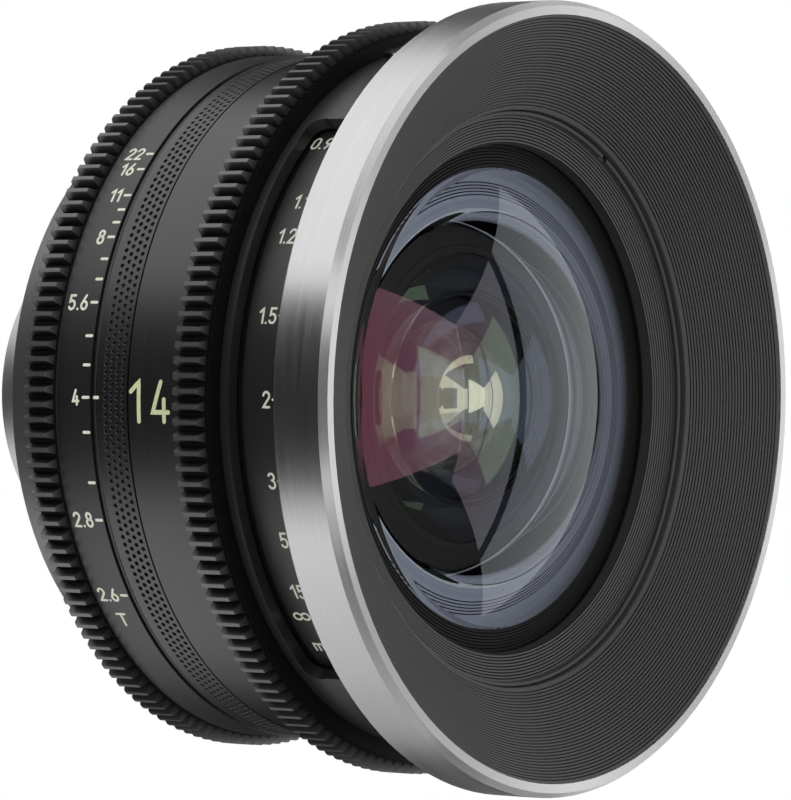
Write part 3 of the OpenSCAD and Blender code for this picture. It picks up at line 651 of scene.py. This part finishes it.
def lathe(profile: list[Point], segments: int) -> BMesh:
    """Revolve a closed profile round the lens axis.

    Args:
        profile: Radius and station pairs in millimetres.
        segments: Number of steps round.

    Returns:
        A closed mesh with outward faces.
    """
    made = bmesh.new()
    rings = [[made.verts.new(ring_point(r, 360 * k / segments, s)) for r, s in profile]
             for k in range(segments)]
    size = len(profile)
    for k in range(segments):
        here, there = rings[k], rings[(k + 1) % segments]
        for i in range(size):
            j = (i + 1) % size
            made.faces.new((here[i], here[j], there[j], there[i]))
    bmesh.ops.recalc_face_normals(made, faces=made.faces)
    return made


def arc(cx: float, cy: float, rx: float, ry: float, start: float, end: float,
        steps: int = 12) -> list[Point]:
    """Sample an elliptic arc.

    Args:
        cx: Centre across.
        cy: Centre up.
        rx: Half width.
        ry: Half height.
        start: First angle in degrees.
        end: Last angle in degrees.
        steps: Number of chords.

    Returns:
        Points along the arc.
    """
    turns = [math.radians(start + (end - start) * i / steps) for i in range(steps + 1)]
    return [(cx + rx * math.cos(t), cy + ry * math.sin(t)) for t in turns]


@dataclass(frozen=True)
class Glyph:
    """A numeral or sign as centre lines in a box one unit tall."""

    width: float
    strokes: list[list[Point]]


SIGNS: dict[str, Glyph] = {
    "0": Glyph(0.5, [arc(0.25, 0.73, 0.25, 0.27, 0, 180) + arc(0.25, 0.27, 0.25, 0.27, 180, 360)
        + [(0.5, 0.73)]]),
    "1": Glyph(0.27, [[(0.0, 0.75), (0.26, 1.0), (0.26, 0.0)]]),
    "2": Glyph(0.5, [arc(0.25, 0.74, 0.25, 0.26, 172, -32) + [(0.0, 0.0), (0.5, 0.0)]]),
    "3": Glyph(0.5, [arc(0.24, 0.765, 0.23, 0.235, 155, -80)
        + arc(0.24, 0.27, 0.26, 0.27, 85, -155)]),
    "4": Glyph(0.5, [[(0.25, 1.0), (0.0, 0.235), (0.5, 0.235)], [(0.36, 0.56), (0.36, 0.0)]]),
    "5": Glyph(0.5, [[(0.46, 1.0), (0.07, 1.0), (0.03, 0.54)]
        + arc(0.23, 0.31, 0.26, 0.31, 112, -150)]),
    "6": Glyph(0.5, [[(0.36, 1.0)] + arc(0.25, 0.28, 0.25, 0.28, 152, -205, 18)]),
    "7": Glyph(0.48, [[(0.0, 1.0), (0.48, 1.0), (0.14, 0.0)]]),
    "8": Glyph(0.5, [arc(0.25, 0.76, 0.21, 0.24, -90, 270, 16),
        arc(0.25, 0.27, 0.25, 0.27, 90, 450, 16)]),
    "9": Glyph(0.5, [[(0.14, 0.0)] + arc(0.25, 0.72, 0.25, 0.28, -28, 329, 18)]),
    ".": Glyph(0.0, [[(0.0, 0.0), (0.0, 0.02)]]),
    "T": Glyph(0.72, [[(0.0, 1.0), (0.72, 1.0)], [(0.36, 1.0), (0.36, 0.0)]]),
    "m": Glyph(0.72, [[(0.0, 0.0), (0.0, 0.65)],
        arc(0.18, 0.44, 0.18, 0.2, 180, 0, 8) + [(0.36, 0.0)],
        arc(0.54, 0.44, 0.18, 0.2, 180, 0, 8) + [(0.72, 0.0)]]),
    "inf": Glyph(1.3, [arc(0.32, 0.5, 0.32, 0.28, 20, 340, 14)
        + arc(0.98, 0.5, 0.32, 0.28, 200, 520, 14)
        + arc(0.32, 0.5, 0.32, 0.28, 20, 21, 1)]),
}


@dataclass
class PaintedMarks:
    """Raised paint strokes wrapped on one cylinder of the lens."""

    name: str
    radius: float
    rides: Rides
    stroke: float
    proud: float = 0.02
    sunk: float = 0.06
    chord: float = 0.6
    sharpest: float = 0.6
    cap_steps: int = 5
    gap_share: float = 0.14
    gap_strokes: float = 0.75
    mesh: BMesh = field(default_factory=bmesh.new)

    def _wrap(self, at: Vector, angle: float, lift: float) -> bmesh.types.BMVert:
        """Put a flat point on the cylinder and add it as a vertex."""
        turn = angle + math.degrees(at.y / self.radius)
        return self.mesh.verts.new(ring_point(self.radius + lift, turn, at.x))

    def _even(self, points: list[Vector]) -> list[Vector]:
        """Cut long segments short, so that they follow the ring's curve.

        Args:
            points: A centre line.

        Returns:
            The same line with more points.
        """
        fine = [points[0]]
        for here, there in zip(points, points[1:]):
            parts = max(1, math.ceil((there - here).length / self.chord))
            fine += [here.lerp(there, k / parts) for k in range(1, parts + 1)]
        return fine

    def _outline(self, points: list[Vector], half: float) -> list[Vector]:
        """Widen a centre line into a round-ended outline.

        Args:
            points: The centre line.
            half: Half the stroke's width.

        Returns:
            The left side, the far cap, the right side backwards and the near cap.
        """
        ways = [(b - a).normalized() for a, b in zip(points, points[1:])]
        left, right, caps = [], [], []
        for i, spot in enumerate(points):
            before, after = ways[max(i - 1, 0)], ways[min(i, len(ways) - 1)]
            square = Vector((-after.y, after.x))
            side = Vector((-(before.y + after.y), before.x + after.x))
            side = side.normalized() if side.length > 1e-6 else square
            reach = half / max(self.sharpest, side.dot(square))
            left.append(spot + side * reach)
            right.append(spot - side * reach)
        turns = [math.pi * k / self.cap_steps for k in range(1, self.cap_steps)]
        ends = ((points[0], -ways[0], left[0]), (points[-1], ways[-1], right[-1]))
        for spot, way, first in ends:
            side = first - spot
            caps.append([spot + side * math.cos(t) + way * half * math.sin(t) for t in turns])
        return left + caps[1][::-1] + right[::-1] + caps[0][::-1]

    def line(self, points: list[Vector], angle: float, width: float = 0.0) -> None:
        """Add one round-ended stroke.

        Args:
            points: Its centre line: station across, millimetres round the ring up.
            angle: The ring angle of zero height, in degrees.
            width: Stroke width in millimetres, or zero for the usual one.
        """
        points = self._even(points)
        outline = self._outline(points, (width or self.stroke) / 2)
        tops = [self._wrap(p, angle, self.proud) for p in outline]
        feet = [self._wrap(p, angle, -self.sunk) for p in outline]
        count, size, cap = len(outline), len(points), self.cap_steps - 1
        last = 2 * size + cap - 1
        rows = [(i, i + 1, last - 1 - i, last - i) for i in range(size - 1)]
        far = list(range(size - 1, size + cap + 1))
        near = [last] + list(range(count - cap, count)) + [0]
        for row in rows + [far, near]:
            self.mesh.faces.new([tops[i] for i in row])
            self.mesh.faces.new([feet[i] for i in reversed(row)])
        for i in range(count):
            j = (i + 1) % count
            self.mesh.faces.new((tops[j], tops[i], feet[i], feet[j]))

    def text(self, signs: list[str], angle: float, station: float, height: float,
             from_right: bool = True, spread: float = 0.0) -> None:
        """Add numerals that read towards the front of the lens.

        Args:
            signs: The numerals in order.
            angle: Ring angle of their middle in degrees.
            station: Where they end, or start.
            height: Their height in millimetres.
            from_right: Whether the station is their right end.
            spread: Extra space between them in millimetres.
        """
        size = height - self.stroke
        gap = self.gap_share * height + self.stroke * self.gap_strokes + spread
        widths = [SIGNS[s].width * size for s in signs]
        across = station + self.stroke / 2
        if from_right:
            across = station - sum(widths) - gap * (len(signs) - 1) - self.stroke / 2
        for sign, width in zip(signs, widths):
            for stroke in SIGNS[sign].strokes:
                flat = [Vector((across + x * size, (y - 0.5) * size)) for x, y in stroke]
                self.line(flat, angle)
            across += width + gap

    def tick(self, angle: float, start: float, end: float, width: float) -> None:
        """Add a tick along the lens, between two stations."""
        half = width / 2
        self.line([Vector((start + half, 0.0)), Vector((end - half, 0.0))], angle, width)

    def build(self, paint: Material) -> None:
        """Turn the strokes into a painted piece that rides on its body."""
        bmesh.ops.recalc_face_normals(self.mesh, faces=self.mesh.faces)
        make_piece(self.name, self.mesh, paint, self.rides)


@dataclass(frozen=True)
class RingScale:
    """Numerals and ticks round one turning ring; a lone sign has its angle, end and height."""

    name: str
    radius: float
    rides: Rides
    stroke: float
    marks: tuple[tuple[str, float], ...]
    number_h: float
    number_end: float
    bare_ticks: tuple[float, ...]
    tick_ends: Point
    tick_w: float
    lone_signs: tuple[tuple[str, float, float, float], ...]

    def build(self, wardrobe: Wardrobe) -> None:
        """Paint the scale.

        Args:
            wardrobe: The finishes.
        """
        paint = PaintedMarks(self.name, self.radius, self.rides, self.stroke)
        for number, angle in self.marks:
            paint.text(list(number), angle, self.number_end, self.number_h)
        for angle in [angle for _, angle in self.marks] + list(self.bare_ticks):
            paint.tick(angle, *self.tick_ends, self.tick_w)
        for sign, *where in self.lone_signs:
            paint.text([sign], *where)
        paint.build(wardrobe.material(wardrobe.book.scale_paint))


IRIS_SCALE = RingScale(
    name="iris_scale", radius=59.4, rides=Rides.IRIS, stroke=0.44,
    marks=(("22", 43.4), ("16", 40.0), ("11", 34.6), ("8", 26.7), ("5.6", 15.4), ("4", 0.0),
           ("2.8", -20.1), ("2.6", -33.9)),
    number_h=2.8, number_end=34.55,
    bare_ticks=(31.8, 29.4, 22.8, 19.3, 9.9, 5.2, -5.6, -13.8),
    tick_ends=(35.05, 36.75), tick_w=0.5,
    lone_signs=(("T", -39.0, 34.25, 2.9),))

FOCUS_SCALE = RingScale(
    name="focus_scale", radius=57.0, rides=Rides.FOCUS, stroke=0.4,
    marks=(("0.4", 161.3), ("0.45", 139.0), ("0.5", 121.7), ("0.6", 96.0), ("0.7", 77.5),
           ("0.8", 63.4), ("0.95", 47.6), ("1.1", 34.5), ("1.2", 27.8), ("1.5", 13.8), ("2", 0.0),
           ("3", -13.4), ("5", -23.7), ("15", -33.5)),
    number_h=2.85, number_end=73.1,
    bare_ticks=(-38.7,),
    tick_ends=(73.4, 75.6), tick_w=0.4,
    lone_signs=(("inf", -38.7, 71.8, 2.85), ("m", -45.3, 71.1, 2.85)))


@dataclass(frozen=True)
class FixedMarks:
    """The index line and the focal length on the fixed barrel."""

    radius: float = 59.0
    index_ends: Point = (37.17, 38.5)
    index_w: float = 0.55
    focal_angle: float = -0.55
    focal_from: float = 44.95
    focal_h: float = 7.3
    focal_stroke: float = 0.78
    focal_spread: float = 1.35

    def build(self, wardrobe: Wardrobe) -> None:
        """Paint the marks.

        Args:
            wardrobe: The finishes.
        """
        index = PaintedMarks("index_line", self.radius, Rides.BARREL, self.index_w)
        index.tick(0.0, *self.index_ends, self.index_w)
        index.build(wardrobe.material(wardrobe.book.scale_paint))
        focal = PaintedMarks("focal_number", self.radius, Rides.BARREL, self.focal_stroke)
        focal.text(["1", "4"], self.focal_angle, self.focal_from, self.focal_h,
                   from_right=False, spread=self.focal_spread)
        focal.build(wardrobe.material(wardrobe.book.focal_paint))


@dataclass(frozen=True)
class DimpledRing:
    """The index ring with four staggered rows of drilled dimples."""

    radius: float = 59.0
    inner: float = 53.05
    back: float = 37.15
    front: float = 44.65
    score: float = 37.7
    score_size: float = 0.12
    rows: tuple[float, ...] = (39.8, 41.03, 42.26, 43.5)
    row_w: float = 1.235
    count: int = 265
    hole_r: float = 0.45
    depth: float = 0.4
    hole_wall: tuple[Point, ...] = ((1.0, 0.0), (0.8, 0.2), (0.74, 1.0))
    hole_sides: int = 12
    floor_drop: float = 0.45
    step_w: float = 0.17
    step_drop: float = 0.6
    lip_w: float = 0.2
    lip_drop: float = 0.2
    weld: float = 1e-6

    def _tile(self, row: float) -> BMesh:
        """Model one dimple in its patch of the ring's skin.

        Args:
            row: The station of its centre.

        Returns:
            The patch at the index side of the ring.
        """
        tile = bmesh.new()
        half_u, half_v = self.row_w / 2, math.pi * self.radius / self.count
        sides, quarter = self.hole_sides, self.hole_sides // 4
        turns = [math.radians(45 + 360 / sides * k) for k in range(sides)]
        edge = []
        for k in range(sides):
            side, part = divmod(k, quarter)
            slide = 1 - 2 * part / quarter
            u, v = ((slide, 1), (-1, slide), (-slide, -1), (1, -slide))[side]
            edge.append((u * half_u, v * half_v, 0.0))
        loops = [edge]
        for reach, sink in self.hole_wall:
            r = self.hole_r * reach
            loops.append([(r * math.cos(t), r * math.sin(t), sink * self.depth) for t in turns])
        top = self.radius
        rings = [[tile.verts.new(ring_point(top - d, math.degrees(v / top), row + u))
                  for u, v, d in loop] for loop in loops]
        for outer, inner in zip(rings, rings[1:]):
            for i in range(sides):
                j = (i + 1) % sides
                tile.faces.new((outer[i], outer[j], inner[j], inner[i]))
        tile.faces.new(rings[-1])
        return tile

    def _tree(self) -> bpy.types.NodeTree:
        """Make the tree that repeats a patch round the lens axis.

        Returns:
            The node group.
        """
        tree = bpy.data.node_groups.new("repeat_round_axis", "GeometryNodeTree")
        sockets = {"Geometry": "Geometry", "Count": "Int", "Start Angle": "Float",
                   "Step Angle": "Float", "Finish": "Material"}
        face = tree.interface
        for name, kind in sockets.items():
            face.new_socket(name=name, in_out="INPUT", socket_type="NodeSocket" + kind)
        face.new_socket(name="Geometry", in_out="OUTPUT", socket_type="NodeSocketGeometry")
        add = tree.nodes.new
        given, result = add("NodeGroupInput"), add("NodeGroupOutput")
        points, place = add("GeometryNodePoints"), add("GeometryNodeInstanceOnPoints")
        number, spin = add("GeometryNodeInputIndex"), add("ShaderNodeCombineXYZ")
        turn, shift = add("ShaderNodeMath"), add("ShaderNodeMath")
        real, weld = add("GeometryNodeRealizeInstances"), add("GeometryNodeMergeByDistance")
        paint = add("GeometryNodeSetMaterial")
        turn.operation, shift.operation = "MULTIPLY", "ADD"
        weld.inputs["Distance"].default_value = self.weld
        for source, out, target, into in (
            (given, "Count", points, "Count"), (number, 0, turn, 0), (given, "Step Angle", turn, 1),
            (turn, 0, shift, 0), (given, "Start Angle", shift, 1), (shift, 0, spin, 1),
            (points, 0, place, "Points"), (given, "Geometry", place, "Instance"),
            (spin, 0, place, "Rotation"), (place, 0, real, 0), (real, 0, weld, "Geometry"),
            (weld, 0, paint, "Geometry"), (given, "Finish", paint, "Material"),
            (paint, 0, result, 0),
        ):
            tree.links.new(source.outputs[out], target.inputs[into])
        return tree

    def _row(self, tree: bpy.types.NodeTree, row: int, finish: Material) -> bpy.types.Mesh:
        """Repeat one row's dimple round the ring.

        Args:
            tree: The repeating tree.
            row: The row's number.
            finish: The ring's material.

        Returns:
            The row's plain mesh.
        """
        tile = self._tile(self.rows[row])
        data = bpy.data.meshes.new(f"dimple_row_{row}")
        tile.to_mesh(data)
        tile.free()
        holder = add_object(data.name, data)
        repeat = holder.modifiers.new("repeat", "NODES")
        repeat.node_group = tree
        step = 2 * math.pi / self.count
        values = {"Count": self.count, "Start Angle": step * (row % 2) / 2, "Step Angle": step,
                  "Finish": finish}
        for item in tree.interface.items_tree:
            if item.in_out == "INPUT" and item.name in values:
                repeat[item.identifier] = values[item.name]
        bpy.context.view_layer.update()
        ready = holder.evaluated_get(bpy.context.evaluated_depsgraph_get())
        plain = bpy.data.meshes.new_from_object(ready)
        bpy.data.objects.remove(holder)
        return plain

    def _profile(self) -> list[Point]:
        """Draw the ring's section: rear lip, score, sunk band for the dimples and front step.

        Returns:
            Radius and station pairs.
        """
        top, small = self.radius, self.score_size
        band = (self.rows[0] - self.row_w / 2, self.rows[-1] + self.row_w / 2)
        floor, tread, lip = top - self.floor_drop, top - self.step_drop, top - self.lip_drop
        step, rear = self.front - self.step_w, self.back - self.lip_w
        return [(self.inner, rear), (lip, rear), (lip, self.back), (top, self.back),
                (top, self.score - small), (top - small, self.score), (top, self.score + small),
                (top, band[0]), (floor, band[0]), (floor, band[1]), (top, band[1]),
                (top, step), (tread, step), (tread, self.front), (self.inner, self.front)]

    def build(self, wardrobe: Wardrobe) -> None:
        """Build the ring and put it in the plain ring's place.

        Args:
            wardrobe: The finishes.
        """
        finish = wardrobe.material(wardrobe.book.smooth_black)
        ring = lathe(self._profile(), self.count)
        tree = self._tree()
        for row in range(len(self.rows)):
            plain = self._row(tree, row, finish)
            ring.from_mesh(plain)
            bpy.data.meshes.remove(plain)
        bpy.data.node_groups.remove(tree)
        piece = make_piece("dimpled_index_ring", ring, finish, Rides.BARREL)
        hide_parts("index_ring")


class Face(Enum):
    """Places of a glass element's materials."""

    FRONT = 0
    HOLLOW = 1
    RIM = 2


@dataclass(frozen=True)
class GlassElement:
    """One lens element with smooth polished faces and a coat on each."""

    name: str
    node: str
    finishes: tuple[str, str, str]
    edge_r: float
    clear_r: float
    front_curve: float
    front_vertex: float
    hollow_curve: float
    hollow_r: float
    back: float
    land: float
    rings: int = 40
    segments: int = 192

    @property
    def hollow_centre(self) -> float:
        """The station of the hollow face's centre of curvature."""
        return self.back - math.sqrt(self.hollow_curve ** 2 - self.hollow_r ** 2)

    def _dome(self, curve: float, centre: float, radii: list[float]) -> list[Point]:
        """Return the radius and station of points on a spherical face."""
        return [(r, centre + math.sqrt(curve ** 2 - r * r)) for r in radii]

    def build(self, wardrobe: Wardrobe) -> None:
        """Build the element and put it in its solid's place.

        Args:
            wardrobe: The finishes.
        """
        steps = range(self.rings)
        hollow = self._dome(self.hollow_curve, self.hollow_centre,
                            [self.hollow_r * (k + 1) / self.rings for k in steps])
        side = [(self.edge_r, self.back), (self.edge_r, self.land), (self.clear_r, self.land)]
        outer = self._dome(self.front_curve, self.front_vertex - self.front_curve,
                           [self.clear_r * (self.rings - k) / self.rings for k in steps])
        made = bmesh.new()
        rows = [[made.verts.new(ring_point(r, 360 * k / self.segments, s))
                 for k in range(self.segments)] for r, s in hollow + side + outer]
        vertices = (self.hollow_centre + self.hollow_curve, self.front_vertex)
        tips = [made.verts.new(ring_point(0.0, 0.0, s)) for s in vertices]
        for k in range(self.segments):
            j = (k + 1) % self.segments
            faces = [made.faces.new((tips[0], rows[0][j], rows[0][k]))]
            faces += [made.faces.new((low[k], low[j], high[j], high[k]))
                      for low, high in zip(rows, rows[1:])]
            faces.append(made.faces.new((rows[-1][k], rows[-1][j], tips[1])))
            for i, face in enumerate(faces):
                kind = Face.HOLLOW if i < len(hollow) else Face.RIM
                if i > len(hollow) + len(side):
                    kind = Face.FRONT
                face.smooth = kind is not Face.RIM
                face.material_index = kind.value
        bmesh.ops.recalc_face_normals(made, faces=made.faces)
        coats = [wardrobe.material(getattr(wardrobe.book, name)) for name in self.finishes]
        piece = make_piece(self.name, made, coats[0], Rides.BARREL)
        for coat in coats[1:]:
            piece.data.materials.append(coat)
        piece.visible_shadow = False
        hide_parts(self.node)


FRONT_GLASS = GlassElement(
    "front_glass", "front_element", ("front_coat", "front_back_coat", "front_rim"),
    edge_r=41.0, clear_r=39.2, front_curve=76.0, front_vertex=87.29, hollow_curve=32.0,
    hollow_r=28.8, back=65.2, land=75.65)
SECOND_GLASS = GlassElement(
    "second_glass", "second_element", ("second_coat", "second_back_coat", "second_rim"),
    edge_r=25.5, clear_r=24.2, front_curve=44.0, front_vertex=71.55, hollow_curve=19.5,
    hollow_r=17.0, back=59.6, land=64.05)


@dataclass(frozen=True)
class Panel:
    """A soft light panel: its middle, the way it shines, its size and how bright its face is."""

    name: str
    centre: Place
    facing: Place
    size: Point
    radiance: float


@dataclass(frozen=True)
class Card:
    """A dark card that only reflections see: lying at one height, or upright between two."""

    name: str
    plan: tuple[Point, ...]
    low: float
    high: float | None = None

    def corners(self) -> list[Place]:
        """Return the card's corners in order."""
        upper = [] if self.high is None else [(*at, self.high) for at in reversed(self.plan)]
        return [(*at, self.low) for at in self.plan] + upper


FRONT_PLAN = ((-0.4, -1.1), (0.5, -1.1), (0.5, -0.1), (0.03, -0.1), (0.03, -0.25), (-0.4, -0.25))
FAR_PLAN = ((0.07, 0.0), (0.5, 0.0), (0.5, 0.7), (0.07, 0.7))


@dataclass(frozen=True)
class Studio:
    """Camera, white surround, soft panels, dark cards and the floor."""

    eye: Place = (-0.730786, -0.612094, 0.008448)
    right: Place = (0.606191, -0.795298, 0.005859)
    up: Place = (0.004177, 0.01055, 0.999936)
    focal_px: float = 5336.0
    image_h: int = 800
    sensor: float = 36.0
    floor_z: float = -0.42
    floor_r: float = 1.1
    floor_sides: int = 96
    soft: float = 0.85
    floor_paint: StageCoat = StageCoat(
        "floor_paint", (0.5, 0.5, 0.5), (0.54, 0.54, 0.54), patch_mm=60.0, roughness=0.7)
    cloth: StageCoat = StageCoat(
        "flag_cloth", (0.004, 0.004, 0.004), (0.01, 0.01, 0.01), patch_mm=4.0, roughness=0.9,
        specular=0.0)
    panels: tuple[Panel, ...] = (
        Panel("side_panel_far", (0.375, -0.765, -0.025), (-1, 0, 0), (0.53, 0.63), 1.05),
        Panel("side_panel_near", (0.375, -0.21, -0.025), (-1, 0, 0), (0.5, 0.63), 1.05),
        Panel("front_panel", (0.143, -0.789, 0.034), (0.707, 0.707, 0), (0.687, 0.5), 1.5),
        Panel("low_rear_panel", (-0.2, 0.33, -0.26), (0, 0, 1), (0.4, 0.44), 0.55),
    )
    cards: tuple[Card, ...] = (
        Card("high_front_flag", FRONT_PLAN, 0.29),
        Card("low_front_flag", FRONT_PLAN, -0.345),
        Card("side_backing", ((0.385, -1.1), (0.385, 0.06)), -0.36, 0.31),
        Card("front_backing", ((0.45, -1.11), (-0.12, -0.54)), -0.35, 0.3),
        Card("index_flag", ((-0.6, -0.05), (-0.2, 0.55)), -0.195, 0.225),
        Card("camera_flag", ((-0.6, -0.05), (-1.3, -0.75)), -0.25, 0.28),
        Card("eye_flag", ((-1.3, -0.75), (-0.85, -1.3)), -0.4, 0.4),
        Card("rear_flag", ((-0.2, 0.55), (0.45, 0.6)), -0.17, 0.17),
        Card("far_flag", ((0.42, 0.06), (0.42, 1.2)), -0.28, 0.85),
        Card("low_far_flag", FAR_PLAN, -0.27),
    )

    def _camera(self) -> None:
        """Stand the camera where the photograph was taken."""
        lens = bpy.data.cameras.new("camera")
        lens.sensor_width = self.sensor
        lens.lens = self.focal_px * self.sensor / self.image_h
        lens.clip_start = 0.01
        stand = add_object("camera", lens)
        right, up = Vector(self.right), Vector(self.up)
        turn = Matrix((right, up, right.cross(up))).transposed().to_4x4()
        stand.matrix_world = Matrix.Translation(self.eye) @ turn
        bpy.context.scene.camera = stand

    def _surround(self) -> None:
        """Make the world white where it is seen and softer where it lights."""
        world = bpy.data.worlds.new("surround")
        bpy.context.scene.world = world
        world.use_nodes = True
        tree = world.node_tree
        back = next(n for n in tree.nodes if n.type == "BACKGROUND")
        back.inputs["Color"].default_value = (1.0, 1.0, 1.0, 1.0)
        path = tree.nodes.new("ShaderNodeLightPath")
        seen = path.outputs["Is Camera Ray"]
        for name in ("Is Glossy Ray", "Is Transmission Ray"):
            either = tree.nodes.new("ShaderNodeMath")
            either.operation = "MAXIMUM"
            tree.links.new(seen, either.inputs[0])
            tree.links.new(path.outputs[name], either.inputs[1])
            seen = either.outputs[0]
        strength = tree.nodes.new("ShaderNodeMapRange")
        strength.inputs["To Min"].default_value = self.soft
        strength.inputs["To Max"].default_value = 1.0
        tree.links.new(seen, strength.inputs["Value"])
        tree.links.new(strength.outputs[0], back.inputs["Strength"])

    def _floor(self) -> None:
        """Lay a plain pale floor under the lens."""
        disc = bmesh.new()
        bmesh.ops.create_circle(disc, cap_ends=True, segments=self.floor_sides, radius=self.floor_r)
        bmesh.ops.translate(disc, vec=(0.0, 0.0, self.floor_z), verts=disc.verts)
        data = bpy.data.meshes.new("floor")
        disc.to_mesh(data)
        disc.free()
        data.materials.append(self.floor_paint.material())
        sheet = add_object("floor", data)

    def _panel(self, panel: Panel) -> None:
        """Hang a soft light panel.

        Args:
            panel: The panel.
        """
        light = bpy.data.lights.new(panel.name, "AREA")
        light.shape = "RECTANGLE"
        light.size, light.size_y = panel.size
        light.energy = panel.radiance * math.pi * panel.size[0] * panel.size[1]
        stand = add_object(panel.name, light)
        turn = Vector(panel.facing).to_track_quat("-Z", "Y").to_matrix().to_4x4()
        stand.matrix_world = Matrix.Translation(panel.centre) @ turn
        stand.visible_camera = False

    def _card(self, given: Card, cloth: Material) -> None:
        """Stand a dark card.

        Args:
            given: The card.
            cloth: Its material.
        """
        data = bpy.data.meshes.new(given.name)
        corners = given.corners()
        data.from_pydata(corners, [], [tuple(range(len(corners)))])
        data.materials.append(cloth)
        card = add_object(given.name, data)
        card.visible_camera = card.visible_diffuse = card.visible_shadow = False

    def build(self) -> None:
        """Set the whole studio up."""
        bpy.context.scene.view_settings.view_transform = "Standard"
        self._camera()
        self._surround()
        self._floor()
        for panel in self.panels:
            self._panel(panel)
        cloth = self.cloth.material()
        for card in self.cards:
            self._card(card, cloth)


def main() -> None:
    """Dress the lens piece by piece and set up the studio."""
    logging.basicConfig(level=logging.INFO, format="%(name)s: %(message)s")
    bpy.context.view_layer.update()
    wardrobe = Wardrobe(FinishBook())
    wardrobe.dress_nodes(frame["nodes"])
    for part in (DimpledRing(), FixedMarks(), IRIS_SCALE, FOCUS_SCALE, FRONT_GLASS, SECOND_GLASS):
        part.build(wardrobe)
        LOG.info("%s is done", type(part).__name__)
    for name, node in frame["nodes"].items():
        if "element" in name:
            node.visible_shadow = False
    Studio().build()


if __name__ == "__main__":
    main()
